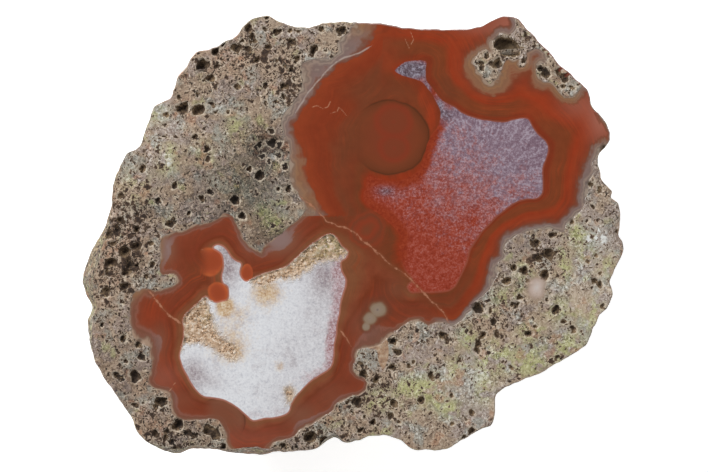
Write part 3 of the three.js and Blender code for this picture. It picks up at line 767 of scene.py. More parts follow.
def use_group(net, name, **values):
    """Places a group in a net and gives its outputs.

    An input without a value here reads the mesh's map of the same name in small letters.
    """
    made = net.node("ShaderNodeGroup")
    made.node_tree = bpy.data.node_groups[name]
    for socket in made.inputs:
        given_here = socket.name in values
        net.feed(socket, values[socket.name] if given_here else net.read(socket.name.lower()))
    return made.outputs


def new_stone(name):
    """An empty material, its net, and where a point is on the object, in millimetres."""
    stone = bpy.data.materials.new(name)
    stone.use_nodes = True
    stone.node_tree.nodes.clear()
    net = Net(stone.node_tree)
    return stone, net, net.vector("SCALE", net.node("ShaderNodeTexCoord").outputs["Object"], 1 / MM)


def stone_surface(net, colour, rough, height=None, bump_strength=0.0, bump_height=0.0):
    """Ends a material: its surface shader, and a bump in millimetres for grain too fine for a mesh."""
    skin = net.node("ShaderNodeBsdfPrincipled")
    net.feed(skin.inputs["Base Color"], colour)
    net.feed(skin.inputs["Roughness"], rough)
    if height is not None:
        bump = net.node("ShaderNodeBump")
        bump.inputs["Strength"].default_value = bump_strength
        bump.inputs["Distance"].default_value = bump_height * MM
        net.feed(bump.inputs["Height"], height)
        net.feed(skin.inputs["Normal"], bump.outputs["Normal"])
    ending = net.node("ShaderNodeOutputMaterial")
    net.feed(ending.inputs["Surface"], skin.outputs["BSDF"])


print("screen grey 128 in linear light", round(paint(128, 128, 128)[0], 3))

# %% [markdown]
# ## Lava rock
#
# Old lava that has lain in the ground is grey to pinkish beige, with green and rusty patches. From close by
# it is grit: pale and dark grains side by side. Here noise of three sizes adds up to one number, and each
# kind of patch has a ramp of its own from that number to a colour. A plain noise looks too round for rock,
# so the place is first bent by another noise.

# %% Lava rock group: the grit and the colours of the patches
GREY_SHARE, PALE_SHARE = 0.75, 0.6
COARSE_GRIT, FINE_GRIT, GRAIN_GRIT, MIDDLE_TONE = 0.5, 0.95, 0.8, 0.57
net, given, result = new_group(
    "lava_rock", ["Level", "Porous", "Green", "Rust", "Pale", "Grey", "Light"],
    {"Color": "Color", "Grain": "Float", "Height": "Float", "Pit": "Float"})
place = given["Place"]
bend = net.vector("SUBTRACT", net.noise(place, 1.0, 3, 0.7, output="Color"), (0.5, 0.5, 0.5))
torn = net.vector("ADD", place, net.vector("SCALE", bend, 1.4))
eased = net.vector("ADD", place, net.vector("SCALE", bend, 0.7))


def patch_of(size, low, high, shift):
    """Patches of about the given size with uneven edges, placed by a shift of the noise."""
    moved = net.vector("ADD", eased, (shift, -shift, shift))
    return net.step(net.noise(moved, size, 2, 0.5), low, high)


middle_noise = net.noise(eased, 2.2, 3, 0.6)
fine_noise = net.noise(torn, 0.45, 2, 0.6)
grain = net.cells(torn, 0.26, "Color")
crumbly = net.minus(1.0, net.times(patch_of(4.5, 0.44, 0.54, 20.0), 0.45))
grit = net.plus(net.swing(middle_noise, COARSE_GRIT), net.swing(fine_noise, FINE_GRIT))
grit = net.plus(grit, net.swing(grain, GRAIN_GRIT))
grit = net.times(grit, crumbly)
grit = net.plus(grit, net.plus(MIDDLE_TONE, given["Light"]))
tan = net.ramp(grit, [
    (0, 46, 33, 26), (0.25, 102, 82, 66), (0.5, 148, 126, 105), (0.75, 188, 166, 144), (1, 224, 210, 192)])
mauve = net.ramp(grit, [
    (0, 40, 33, 30), (0.25, 94, 79, 71), (0.5, 138, 120, 109), (0.75, 178, 161, 150), (1, 218, 208, 200)])
grey = net.ramp(grit, [
    (0, 38, 36, 32), (0.25, 90, 88, 80), (0.5, 136, 134, 124), (0.75, 176, 175, 166), (1, 226, 228, 224)])
colour = net.blend(patch_of(4.0, 0.45, 0.55, 0.0), tan, mauve)
grey_share = net.plus(patch_of(4.6, 0.52, 0.62, 40.0), given["Grey"], clamp=True)
colour = net.blend(net.times(grey_share, GREY_SHARE), colour, grey)
green_share = net.plus(net.times(given["Green"], patch_of(1.7, 0.36, 0.54, 60.0)),
                       net.times(patch_of(3.6, 0.6, 0.7, 70.0), 0.6), clamp=True)
green = net.ramp(grit, [
    (0, 48, 48, 26), (0.25, 102, 102, 60), (0.5, 153, 151, 98), (0.75, 193, 190, 138), (1, 232, 232, 200)])
colour = net.blend(green_share, colour, green)
rust_share = net.plus(net.times(given["Rust"], patch_of(1.7, 0.36, 0.56, 80.0)),
                      net.times(patch_of(3.0, 0.6, 0.7, 90.0), 0.6), clamp=True)
rust = net.ramp(grit, [
    (0, 46, 26, 18), (0.25, 100, 64, 45), (0.5, 150, 105, 77), (0.75, 190, 147, 115), (1, 226, 204, 180)])
colour = net.blend(rust_share, colour, rust)
pale_share = net.times(given["Pale"], net.step(fine_noise, 0.42, 0.6), clamp=True)
colour = net.blend(net.times(pale_share, PALE_SHARE), colour, paint(212, 212, 204))
grains = net.step(net.cells(torn, 1.4, feature="DISTANCE_TO_EDGE"), 0.12, 0.18)
grains = net.times(grains, net.step(net.cells(torn, 1.4, "Color"), 0.46, 0.5))
pale_grains = net.times(net.step(given["Pale"], 0.3, 0.7), grains)
colour = net.blend(pale_grains, colour, paint(232, 232, 228))
print("lava_rock nodes for the colours", len(net.tree.nodes))

# %% [markdown]
# ## Pits in the lava
#
# The bubbles of the mesh go down to about half a millimetre. Finer ones are five Voronoi patterns, from
# coarse to fine. A cell that is picked is dark up to a wall of even thickness, as in froth, and more cells
# are picked where the rock is porous. The dark is partly a dark lining and partly painted shade, darker
# towards the bottom. Each pit counts in the height as well, so that light finds an edge there. Minerals
# lined the bubbles with something paler, so their walls are light, and the pale walls are also a painted
# highlight where light would catch the edges.

# %% Lava rock group: pits, rims and relief
PIT_PATTERNS = ((2.4, 0.26, 0.1), (1.5, 0.16, 0.1), (0.95, 0.05, 0.11), (0.6, -0.05, 0.12),
                (0.42, -0.08, 0.13))
POROUS_SHARE, CLOSING = 0.42, 2.5
WALL_LINING_AND_HIGHLIGHT, RIM_LINING_AND_HIGHLIGHT, DEPTH_SHADE_SHARE = 0.62, 0.5, 0.45
GRIT_RELIEF, WALL_RELIEF, PIT_RELIEF = 0.3, 0.15, 0.4
ragged = net.swing(net.noise(place, 0.5, 2, 0.65), 0.9)
level = net.plus(given["Level"], ragged)
pit = net.step(level, 0.0, 0.06)
large_rim = net.times(net.step(level, -0.36, -0.06), net.minus(1.0, pit))
walls = large_rim
small_pit, hollow = 0.0, 0.0
porous = net.times(given["Porous"], POROUS_SHARE)
for size, fewer, wall in PIT_PATTERNS:
    edge = net.cells(torn, size, feature="DISTANCE_TO_EDGE")
    pick = net.cells(torn, size, "Color")
    left_out = net.calc("MAXIMUM", net.minus(net.plus(pick, fewer), porous), 0.0)
    inside = net.minus(net.minus(edge, wall), net.times(left_out, CLOSING))
    opened = net.step(inside, -0.015, 0.015)
    hollow = net.calc("MAXIMUM", hollow, net.step(inside, 0.0, 0.16))
    rim = net.times(net.step(inside, -0.2, -0.04), net.minus(1.0, opened))
    walls = net.calc("MAXIMUM", walls, rim)
    small_pit = net.calc("MAXIMUM", small_pit, opened)
# The pale walls and rims are partly a paler mineral lining and partly a painted highlight where light would
# catch the edges of the pits.
walls = net.times(walls, net.step(fine_noise, 0.36, 0.6))
colour = net.blend(net.times(walls, WALL_LINING_AND_HIGHLIGHT), colour, paint(208, 188, 164))
large_rim = net.times(large_rim, net.step(middle_noise, 0.3, 0.56))
colour = net.blend(net.times(large_rim, RIM_LINING_AND_HIGHLIGHT), colour, paint(218, 206, 186))
# Painted shade: the insides of the small pits are partly a dark lining and partly shade painted into the
# colour, darker towards the bottom of each pit.
shallow = net.ramp(grit, [(0.2, 56, 40, 31), (0.5, 92, 69, 53), (0.8, 140, 114, 90)])
shaded_bottom = net.ramp(grit, [(0.3, 34, 24, 18), (0.7, 70, 52, 40)])
colour = net.blend(small_pit, colour, net.blend(hollow, shallow, shaded_bottom))
deep_tint = net.plus(net.times(middle_noise, 0.5), net.times(grit, 0.5))
deep = net.ramp(deep_tint, [(0.38, 38, 28, 21), (0.54, 88, 68, 51), (0.7, 152, 128, 98)])
colour = net.blend(pit, colour, deep)
# Painted shade: the middle of each larger bubble is darkened further, where a deep hole is in shade.
deepest = net.times(net.step(level, 0.12, 0.7), DEPTH_SHADE_SHARE)
colour = net.blend(deepest, colour, paint(34, 26, 20))
net.feed(result["Color"], colour)
grain_relief = net.times(grit, GRIT_RELIEF)
net.feed(result["Grain"], grain_relief)
relief = net.plus(grain_relief, net.times(walls, WALL_RELIEF))
relief = net.minus(relief, net.times(small_pit, PIT_RELIEF))
relief = net.minus(relief, net.times(hollow, PIT_RELIEF))
net.feed(result["Height"], relief)
net.feed(result["Pit"], net.calc("MAXIMUM", pit, small_pit))
print("lava_rock nodes", len(net.tree.nodes))

# %% [markdown]
# ## Banded agate
#
# Each coat of agate took its colour from what was in the water at the time. So the colour is read from a
# ramp along the way from the wall to the quartz, with fine lines on it. The two nodules and the two flanks
# of the larger one differ, so there are three ramps, shared out by two inputs and toned by one warm colour.

# %% Agate group: bands and fine lines
WARMTH = (1.04, 0.93, 0.74)
LINE_CONTRAST = 2.6
LINES_ACROSS, LINES_ALONG = 2.3, 0.1
LEAST_SHADE, CLOUD_SHADE = 0.8, 0.4
net, given, result = new_group(
    "banded_agate", ["Halo", "Band", "Coat", "Left", "Flank", "Tone", "Blush", "Dull", "Tan"],
    {"Color": "Color"})
place = given["Place"]
drift = net.minus(net.noise(place, 4.0, 3), 0.5)
waviness = net.minus(0.24, net.times(given["Flank"], 0.17))
band = net.plus(given["Band"], net.times(drift, waviness))
west = net.ramp(band, [
    (0, 138, 63, 38), (0.08, 136, 61, 37), (0.2, 128, 55, 33), (0.34, 126, 56, 34), (0.42, 119, 61, 41),
    (0.52, 113, 62, 42), (0.72, 118, 58, 38), (0.88, 111, 60, 38), (1, 138, 52, 28)])
east = net.ramp(band, [
    (0, 122, 66, 48), (0.1, 132, 59, 40), (0.2, 142, 61, 37), (0.36, 146, 57, 32), (0.45, 136, 60, 35),
    (0.54, 123, 63, 38), (0.78, 122, 63, 39), (0.88, 126, 52, 31), (1, 119, 54, 33)])
small = net.ramp(band, [
    (0, 126, 66, 50), (0.14, 124, 61, 44), (0.34, 121, 59, 41), (0.5, 122, 57, 40), (0.6, 112, 53, 33),
    (0.7, 126, 67, 48), (0.84, 124, 79, 57), (1, 128, 84, 62)])
colour = net.blend(given["Left"], net.blend(given["Flank"], west, east), small)
brown = net.times(net.step(given["Tone"], 0.0, 1.0), 0.9)
bright = net.times(net.step(given["Tone"], 0.0, -1.0), 0.9)
colour = net.blend(brown, colour, paint(113, 62, 42))
colour = net.blend(bright, colour, paint(152, 60, 34))
along = net.node("ShaderNodeSeparateXYZ")
net.feed(along.inputs["Vector"], place)
coats = net.node("ShaderNodeCombineXYZ")
coat_number = net.times(given["Coat"], LINES_ACROSS)
net.feed(coats.inputs["X"], net.plus(coat_number, net.times(drift, 2.0)))
net.feed(coats.inputs["Y"], net.times(along.outputs["X"], LINES_ALONG))
net.feed(coats.inputs["Z"], net.times(along.outputs["Y"], LINES_ALONG))
lines = net.minus(net.noise(coats.outputs["Vector"], 1.0, 2, 0.7), 0.5)
line_share = net.step(net.noise(place, 6.0, 2), 0.35, 0.65)
lines = net.times(lines, net.plus(0.15, net.times(line_share, 0.85)))
lined = net.calc("MAXIMUM", given["Flank"], given["Left"])
lines = net.times(lines, net.plus(0.55, net.times(lined, 0.45)))
colour = net.blend(net.times(lines, LINE_CONTRAST, clamp=True), colour, paint(152, 68, 40))
colour = net.blend(net.times(lines, -LINE_CONTRAST, clamp=True), colour, paint(108, 58, 38))
cloud = net.noise(place, 2.0, 4, 0.6)
shade = net.plus(LEAST_SHADE, net.times(cloud, CLOUD_SHADE))
colour = net.vector("MULTIPLY", net.vector("SCALE", colour, shade), WARMTH)
colour = net.blend(net.times(given["Blush"], 1.0, clamp=True), colour, paint(172, 106, 88))
colour = net.blend(net.times(given["Dull"], 1.0, clamp=True), colour, paint(129, 84, 64))
print("banded_agate nodes for the bands", len(net.tree.nodes))

# %% [markdown]
# ## The first coats, next to the wall
#
# Next to the lava lie the oldest coats. They are paler and greyer than the rest, and uneven, because they
# grew on rough rock. The halo runs from 0 at the wall to 1 at the red agate, and three ramps along it take
# turns. Drift, ripple and the fine lines are added to it, so that no border is cleaner than in a stone.

# %% Agate group: the pale coats
ripple = net.minus(net.noise(place, 1.6, 2), 0.5)
halo_bend = net.plus(given["Halo"], net.times(drift, 0.6))
halo_bend = net.plus(halo_bend, net.times(ripple, 0.8))
halo_bend = net.plus(halo_bend, net.times(lines, 0.8))
halo = net.ramp(halo_bend, [
    (0, 156, 140, 126), (0.14, 122, 106, 98), (0.26, 150, 130, 118), (0.44, 124, 104, 98),
    (0.58, 132, 108, 102), (0.76, 120, 82, 68), (0.95, 121, 66, 50)])
tan = net.ramp(halo_bend, [
    (0, 158, 136, 118), (0.16, 130, 98, 76), (0.34, 146, 106, 76), (0.5, 134, 94, 70), (0.7, 142, 98, 72),
    (0.95, 132, 74, 52)])
outer = net.ramp(halo_bend, [
    (0, 164, 138, 118), (0.16, 138, 110, 92), (0.3, 122, 84, 68), (0.46, 126, 80, 64), (0.6, 118, 74, 57),
    (0.78, 136, 84, 68), (0.95, 130, 74, 56)])
halo = net.blend(given["Tan"], net.blend(given["Left"], halo, outer), tan)
inner_half = net.step(halo_bend, 0.42, 0.54)
right_out = net.times(net.step(given["Dull"], 0.5, 0.9), net.minus(1.0, given["Tan"]))
inner_half = net.calc("MAXIMUM", inner_half, net.times(right_out, net.step(halo_bend, 0.04, 0.16)))
lavender = net.times(net.times(given["Dull"], 0.9, clamp=True), inner_half)
halo = net.blend(lavender, halo, paint(138, 112, 106))
colour = net.blend(net.step(halo_bend, 0.86, 1.1), halo, colour)
net.feed(result["Color"], colour)
print("banded_agate nodes", len(net.tree.nodes))

# %% [markdown]
# ## Quartz
#
# The last to grow in each hollow was coarse quartz. Its crystals meet in a mosaic that looks like sugar
# when polished: white on the left, and lilac over red on the right, where the iron below shows through.

# %% Quartz group: the white centre
SUGAR_SHARE, FLECK_SHARE = 0.55, 0.45
net, given, result = new_group(
    "sugary_quartz", ["Left", "Flush", "Margin", "Pink", "Stain", "Lilac", "Blue", "Fibrous"],
    {"Color": "Color", "Height": "Float"})
place = given["Place"]
sugar = net.noise(place, 0.36, 2, 0.7)
cloud = net.noise(place, 3.0, 4, 0.65)
fleck = net.noise(place, 1.0, 4, 0.75)
mottle = net.plus(net.times(sugar, SUGAR_SHARE), net.times(fleck, FLECK_SHARE))
white = net.ramp(mottle, [(0.34, 196, 197, 204), (0.46, 219, 220, 224), (0.6, 230, 231, 234)])
lilac_grey = net.ramp(mottle, [(0.34, 128, 114, 124), (0.48, 164, 152, 154), (0.62, 200, 194, 198)])
grey_share = net.plus(given["Lilac"], net.times(net.step(cloud, 0.5, 0.75), 0.3),
                      clamp=True)
white = net.blend(grey_share, white, lilac_grey)
pink = net.ramp(mottle, [(0.36, 128, 76, 78), (0.48, 170, 134, 136), (0.6, 208, 192, 198)])
pink_share = net.plus(given["Pink"], net.swing(fleck, 1.6))
white = net.blend(net.step(pink_share, 0.1, 1.05), white, pink)
stain = net.ramp(mottle, [(0.36, 160, 122, 88), (0.48, 200, 168, 132), (0.6, 220, 204, 180)])
stain_share = net.plus(given["Stain"], net.swing(fleck, 1.0))
white = net.blend(net.step(stain_share, 0.1, 0.8), white, stain)
print("sugary_quartz nodes for the white centre", len(net.tree.nodes))

# %% [markdown]
# ## The lilac and red centre
#
# Near its border this quartz is fibrous: thin crystals stand side by side, square to the wall. Noise that
# changes with the bearing round the middle, and hardly along the way out, draws such fibres. One number,
# the flush, then leads from lilac over rose to red.

# %% Quartz group: the lilac centre, its fibres and the painted sparkle
FIBRE_CENTRE = (24.0, 11.0, 0.0)
FIBRES_PER_RADIAN, FIBRE_CONTRAST = 20.0, 0.4
PAINTED_SPARKLE, SUGAR_RELIEF = 0.45, 0.03
spoke = net.vector("SUBTRACT", place, FIBRE_CENTRE)
spoke_parts = net.node("ShaderNodeSeparateXYZ")
net.feed(spoke_parts.inputs["Vector"], spoke)
bearing = net.calc("ARCTAN2", spoke_parts.outputs["Y"], spoke_parts.outputs["X"])
comb = net.node("ShaderNodeCombineXYZ")
net.feed(comb.inputs["X"], net.times(bearing, FIBRES_PER_RADIAN))
net.feed(comb.inputs["Y"], net.plus(net.times(spoke_parts.outputs["Y"], 0.3), cloud))
fibre = net.minus(net.noise(comb.outputs["Vector"], 1.0, 2, 0.6), 0.5)
fibre = net.times(fibre, given["Fibrous"])
streaked = net.plus(mottle, net.times(fibre, FIBRE_CONTRAST))
lilac = net.ramp(streaked, [(0.34, 109, 84, 97), (0.48, 135, 113, 126), (0.62, 170, 156, 168)])
red = net.ramp(streaked, [(0.32, 122, 42, 25), (0.48, 149, 58, 39), (0.66, 176, 99, 86)])
flush = net.plus(given["Flush"], net.swing(fleck, 0.9))
flush = net.plus(flush, net.swing(cloud, 0.9))
flush = net.plus(flush, net.swing(sugar, -0.5))
flush = net.minus(flush, net.times(fibre, FIBRE_CONTRAST))
rose = net.ramp(streaked, [(0.34, 122, 66, 64), (0.48, 148, 90, 88), (0.62, 184, 140, 142)])
right = net.blend(net.step(flush, 0.05, 0.5), lilac, rose)
right = net.blend(net.step(flush, 0.35, 0.85), right, red)
margin = net.plus(given["Margin"], net.swing(fleck, 1.2))
orange = net.ramp(mottle, [(0.36, 126, 42, 22), (0.5, 142, 53, 28), (0.64, 156, 66, 40)])
right = net.blend(net.step(margin, 0.15, 0.95), right, orange)
blue = net.ramp(mottle, [(0.36, 62, 50, 60), (0.48, 98, 82, 90), (0.6, 156, 150, 164)])
right = net.blend(given["Blue"], right, blue)
colour = net.blend(given["Left"], right, white)
# Painted highlight: a few small cells are lightened as glints of light on crystal faces.
glint_pick = net.cells(place, 0.9, "Color")
painted_glints = net.times(net.step(glint_pick, 0.88, 0.93), net.step(net.cells(place, 0.9), 0.25, 0.1))
colour = net.blend(net.times(painted_glints, PAINTED_SPARKLE), colour, paint(216, 206, 214))
net.feed(result["Color"], colour)
net.feed(result["Height"], net.times(sugar, SUGAR_RELIEF))
print("sugary_quartz nodes", len(net.tree.nodes))

# %% [markdown]
# ## The material of the sawn face
#
# One material covers the face, because the stones grade into each other. The three groups are placed first,
# and each of their inputs reads one of the maps of the mesh. Masks made from the signed distances then
# choose between lava, agate and quartz, and the same masks choose how smooth the polish is.

# %% Face material: the three stones
face_stone, net, place = new_stone("polished_agate_and_lava")
lava = use_group(net, "lava_rock", Place=place)
agate = use_group(net, "banded_agate", Place=place)
quartz = use_group(net, "sugary_quartz", Place=place)
print("nodes with the groups", len(net.tree.nodes))

# %% [markdown]
# ## Eye, knot, lobes, arch and beads
#
# Agate didn't only grow from the wall. Where it grew round a tube or a splinter it left an eye with rings of
# its own, and lumps on the wall left lobes and beads. Each has a map that runs outwards from its middle, so a
# ramp on it draws the rings, and a little noise keeps them from being perfect ovals.

# %% Face material: round forms in the agate
EYE_SHARE, PUPIL_SHARE, KNOT_SHARE, ARCH_SHARE, BEAD_SHARE = 0.92, 0.75, 0.8, 0.8, 0.6
agate_colour = agate["Color"]
soft_noise = net.minus(net.noise(place, 3.0, 3), 0.5)
eye = net.plus(net.read("eye"), net.times(soft_noise, 0.12))
eye_colour = net.ramp(eye, [
    (0, 122, 60, 42), (0.5, 121, 61, 42), (0.72, 120, 62, 41), (0.84, 111, 60, 40), (0.93, 102, 56, 36),
    (0.965, 82, 48, 31), (1, 112, 54, 33)])
eye_share = net.times(net.step(eye, 1.02, 0.97), net.read("eye_fade"))
pupil = net.plus(net.read("pupil"), net.times(soft_noise, 0.25))
pupil_colour = net.ramp(pupil, [
    (0, 130, 56, 41), (0.2, 122, 61, 43), (0.6, 123, 60, 42), (0.82, 131, 56, 39), (0.95, 133, 56, 38)])
pupil_share = net.times(net.step(pupil, 1.25, 0.9), PUPIL_SHARE)
eye_colour = net.blend(pupil_share, eye_colour, pupil_colour)
eye_colour = net.vector("MULTIPLY", eye_colour, WARMTH)
agate_colour = net.blend(net.times(eye_share, EYE_SHARE), agate_colour, eye_colour)
knot = net.plus(net.read("knot"), net.times(soft_noise, 0.5))
knot_colour = net.ramp(knot, [
    (0, 116, 66, 42), (0.25, 126, 62, 38), (0.4, 140, 58, 34), (0.55, 130, 58, 36), (0.66, 116, 60, 38),
    (0.8, 138, 58, 34), (0.95, 118, 62, 40)])
knot_share = net.times(net.step(knot, 1.0, 0.7), KNOT_SHARE)
agate_colour = net.blend(knot_share, agate_colour, knot_colour)
lobe_inward = net.plus(net.times(net.read("lobe"), 0.4), net.times(soft_noise, 1.1))
lobe_colour = net.ramp(lobe_inward, [
    (0, 182, 96, 60), (0.16, 168, 84, 54), (0.4, 154, 74, 50), (0.7, 150, 71, 46)])
lobe_share = net.times(net.step(net.read("lobe"), -0.22, 0.3),
                       net.step(net.read("lobe_glow"), 0.0, 0.7))
agate_colour = net.blend(lobe_share, agate_colour, net.vector("MULTIPLY", lobe_colour, WARMTH))
arch_colour = net.ramp(net.read("arch"), [
    (0.5, 124, 76, 56), (0.8, 126, 80, 60), (0.93, 118, 70, 52), (0.97, 80, 48, 36), (1, 122, 68, 50)])
arch_share = net.times(net.step(net.read("arch"), 1.03, 0.99), net.read("arch_fade"))
agate_colour = net.blend(net.times(arch_share, ARCH_SHARE), agate_colour, arch_colour)
bead = net.plus(net.read("bead"), net.times(soft_noise, 0.5))
bead_colour = net.ramp(bead, [
    (0, 104, 92, 88), (0.16, 146, 128, 112), (0.7, 142, 122, 102), (1, 122, 86, 64)])
bead_ring = net.times(net.step(bead, 1.9, 1.2), BEAD_SHARE)
agate_colour = net.blend(bead_ring, agate_colour, paint(108, 60, 41))
agate_colour = net.blend(net.step(bead, 1.25, 0.75), agate_colour, bead_colour)
print("nodes with the round forms", len(net.tree.nodes))

# %% [markdown]
# ## From lava to agate to quartz
#
# The border of the agate is scalloped, because it grew on rough rock. So noise is added to the distance from
# the wall before a narrow step makes a mask of it. A thin pale seam runs along parts of the quartz.

# %% Face material: the masks
BUFF_SHARE = 0.85
SEAM_BESIDE_BORDER = 0.12
buff = net.plus(net.read("buff"), net.times(soft_noise, 1.2))
in_buff = net.step(buff, 0.5, 0.75)
buff_colour = net.ramp(net.noise(place, 1.0, 4, 0.65), [
    (0.36, 138, 104, 80), (0.5, 178, 140, 108), (0.64, 200, 176, 150)])
scallop = net.swing(net.noise(place, 1.3, 3), 0.9)
in_wall = net.step(net.plus(net.read("wall"), scallop), -0.12, 0.14)
in_quartz = net.step(net.read("core"), -0.1, 0.1)
colour = net.blend(net.times(in_buff, BUFF_SHARE), lava["Color"], buff_colour)
colour = net.blend(in_wall, colour, agate_colour)
from_seam = net.calc("ABSOLUTE", net.plus(net.read("core"), SEAM_BESIDE_BORDER))
seam = net.times(net.step(from_seam, 0.26, 0.04), net.read("seam"))
colour = net.blend(in_quartz, colour, quartz["Color"])
colour = net.blend(seam, colour, paint(186, 122, 106))
print("nodes with the masks", len(net.tree.nodes))

# %% [markdown]
# ## The patches that the saw only grazed
#
# In these hollows the quartz is neither cut nor polished. Its surface is a tan crust, mossy green in places,
# with painted shade in its deepest crevices and a painted shadow along its border with the quartz. The tones
# of the crust are kept for the small crystals, which grow from it.

# %% Face material: the rough patches
CREVICE_SHADE_SHARE = 0.8
MOSS_GREEN = (142, 130, 84)
crust = net.read("crust")
crust_noise = net.noise(place, 0.8, 4, 0.75)
cloud_noise = net.noise(place, 1.5, 3, 0.6)
CRUST_TONES = [(0.32, 134, 104, 76), (0.42, 176, 144, 114), (0.52, 206, 178, 150),
               (0.66, 228, 216, 200)]
crust_colour = net.ramp(crust_noise, CRUST_TONES)
crust_spread = net.swing(crust_noise, 4.0)
in_crust = net.step(net.plus(net.read("graze"), crust_spread), -0.6, 1.0)
crust_border = net.plus(net.read("core"), net.times(crust_spread, 0.12))
in_crust = net.times(in_crust, net.step(crust_border, -0.18, 0.02))
moss_share = net.times(net.read("moss"), net.step(cloud_noise, 0.4, 0.6))
crust_colour = net.blend(moss_share, crust_colour, paint(*MOSS_GREEN))
colour = net.blend(in_crust, colour, crust_colour)
# Painted shade: the deepest parts of the crust and a thin broken line along its border with the quartz are
# darkened, as shade in the crevices and a shadow under the rim.
crevice_shade = net.step(net.plus(crust, net.times(crust_noise, 0.5)), 0.9, 1.1)
from_rim_shadow = net.calc("ABSOLUTE", net.minus(crust_border, 0.12))
rim_shadow = net.times(net.step(from_rim_shadow, 0.22, 0.05), net.step(cloud_noise, 0.5, 0.6))
crevice_shade = net.times(net.calc("MAXIMUM", crevice_shade, rim_shadow), in_crust)
colour = net.blend(net.times(crevice_shade, CREVICE_SHADE_SHARE), colour, paint(74, 60, 40))
print("nodes with the rough patches", len(net.tree.nodes))

# %% [markdown]
# ## Veins, threads, scratches and an eyelet
#
# Cracks in the agate healed with pale quartz, and the polishing left a few marks; one short mark is a painted
# highlight on a small chip. All are thin lines where the distance from a path is near nothing, broken up by
# noise. The eyelet is a small tube, cut across.

# %% Face material: lines and the eyelet
VEIN_WIDTH = 0.22
STAIN_SHARE, VEIN_SHARE, THREAD_SHARE, SCRATCH_AND_GLINT_SHARE = 0.3, 0.75, 0.7, 0.55
vein_noise = net.noise(place, 0.9, 4, 0.7)
vein_wide = net.times(net.step(vein_noise, 0.38, 0.7), VEIN_WIDTH)
vein_away = net.calc("ABSOLUTE", net.read("vein"))
vein_stain = net.times(net.read("vein_near"), net.step(vein_away, 0.7, 0.05))
colour = net.blend(net.times(vein_stain, STAIN_SHARE), colour, paint(134, 78, 52))
vein_edge = net.step(net.minus(vein_away, vein_wide), 0.12, -0.02)
vein = net.times(net.read("vein_near"), vein_edge)
vein = net.times(vein, net.step(vein_noise, 0.3, 0.62))
colour = net.blend(net.times(vein, VEIN_SHARE), colour, paint(182, 126, 98))
thread_away = net.calc("ABSOLUTE", net.read("thread"))
thread = net.times(net.read("thread_near"), net.step(thread_away, 0.24, 0.04))
thread = net.times(thread, net.step(vein_noise, 0.25, 0.6))
colour = net.blend(net.times(thread, THREAD_SHARE), colour, paint(182, 166, 156))
# Painted highlight: one of these marks is a glint on a small chip, the others are scratches.
scratch_and_glint = net.times(net.step(net.read("scratch_and_glint"), 0.15, 0.04), net.step(vein_noise, 0.36, 0.56))
colour = net.blend(net.times(scratch_and_glint, SCRATCH_AND_GLINT_SHARE), colour, paint(200, 150, 118))
eyelet = net.plus(net.read("eyelet"), net.times(soft_noise, 0.8))
eyelet_colour = net.ramp(eyelet, [
    (0, 150, 138, 130), (0.12, 206, 196, 190), (0.5, 196, 176, 164), (1, 166, 142, 124)])
colour = net.blend(net.step(eyelet, 1.2, 0.7), colour, eyelet_colour)
print("nodes with the lines", len(net.tree.nodes))

# %% [markdown]
# ## Gloss and relief of the face
#
# Agate takes the best polish. Lava takes less, and pits and crust none, so each mask adds its part to the
# roughness. The mesh carries relief down to about half a millimetre, and the bump adds what is finer.

# %% Face material: gloss and bump
POLISHED, DULLER_LAVA, DULLER_PIT, DULLER_CRUST, DULL_HOLLOW = 0.2, 0.35, 0.35, 0.5, 0.8
CRUST_RELIEF = 0.5
FACE_BUMP_STRENGTH, FACE_BUMP_HEIGHT = 0.8, 0.8
lava_share = net.minus(1.0, in_wall)
pit_share = net.times(lava["Pit"], lava_share)
rough = net.plus(POLISHED, net.times(lava_share, DULLER_LAVA))
rough = net.plus(rough, net.times(pit_share, DULLER_PIT))
rough = net.plus(rough, net.times(in_crust, DULLER_CRUST), clamp=True)
hollow_edge = net.step(net.read("level"), -0.35, -0.1)
rough = net.calc("MAXIMUM", rough, net.times(hollow_edge, DULL_HOLLOW))
height = net.times(lava["Grain"], lava_share)
height = net.plus(height, net.times(quartz["Height"], in_quartz))
height = net.plus(height, net.times(net.times(crust_noise, in_crust), CRUST_RELIEF))
stone_surface(net, colour, rough, height, FACE_BUMP_STRENGTH, FACE_BUMP_HEIGHT)
print("face material nodes", len(net.tree.nodes))

# %% [markdown]
# ## The small quartz points
#
# The points in the rough hollows have the tones of the crust that they grow from. Each gets a shift of its
# own, so that neighbours can be told apart, and their faces shine more than the crust does.

# %% Crystal material
CRYSTAL_ROUGHNESS = 0.35
crystal_stone, net, place = new_stone("quartz_points")
tone = net.plus(net.noise(place, 0.8, 4, 0.75), net.times(net.read("tone"), 0.12))
moss_share = net.times(net.read("moss"), net.step(tone, 0.66, 0.4))
crystal_colour = net.blend(moss_share, net.ramp(tone, CRUST_TONES), paint(*MOSS_GREEN))
stone_surface(net, crystal_colour, CRYSTAL_ROUGHNESS)
print("crystal material nodes", len(net.tree.nodes))

# %% [markdown]
# ## The material of the rough back
#
# The back has the same lava and the same agate as the face, but broken and weathered: no polish and a
# stronger bump. Agate shows only where its wall map is positive, and patches of lava still cling to it.

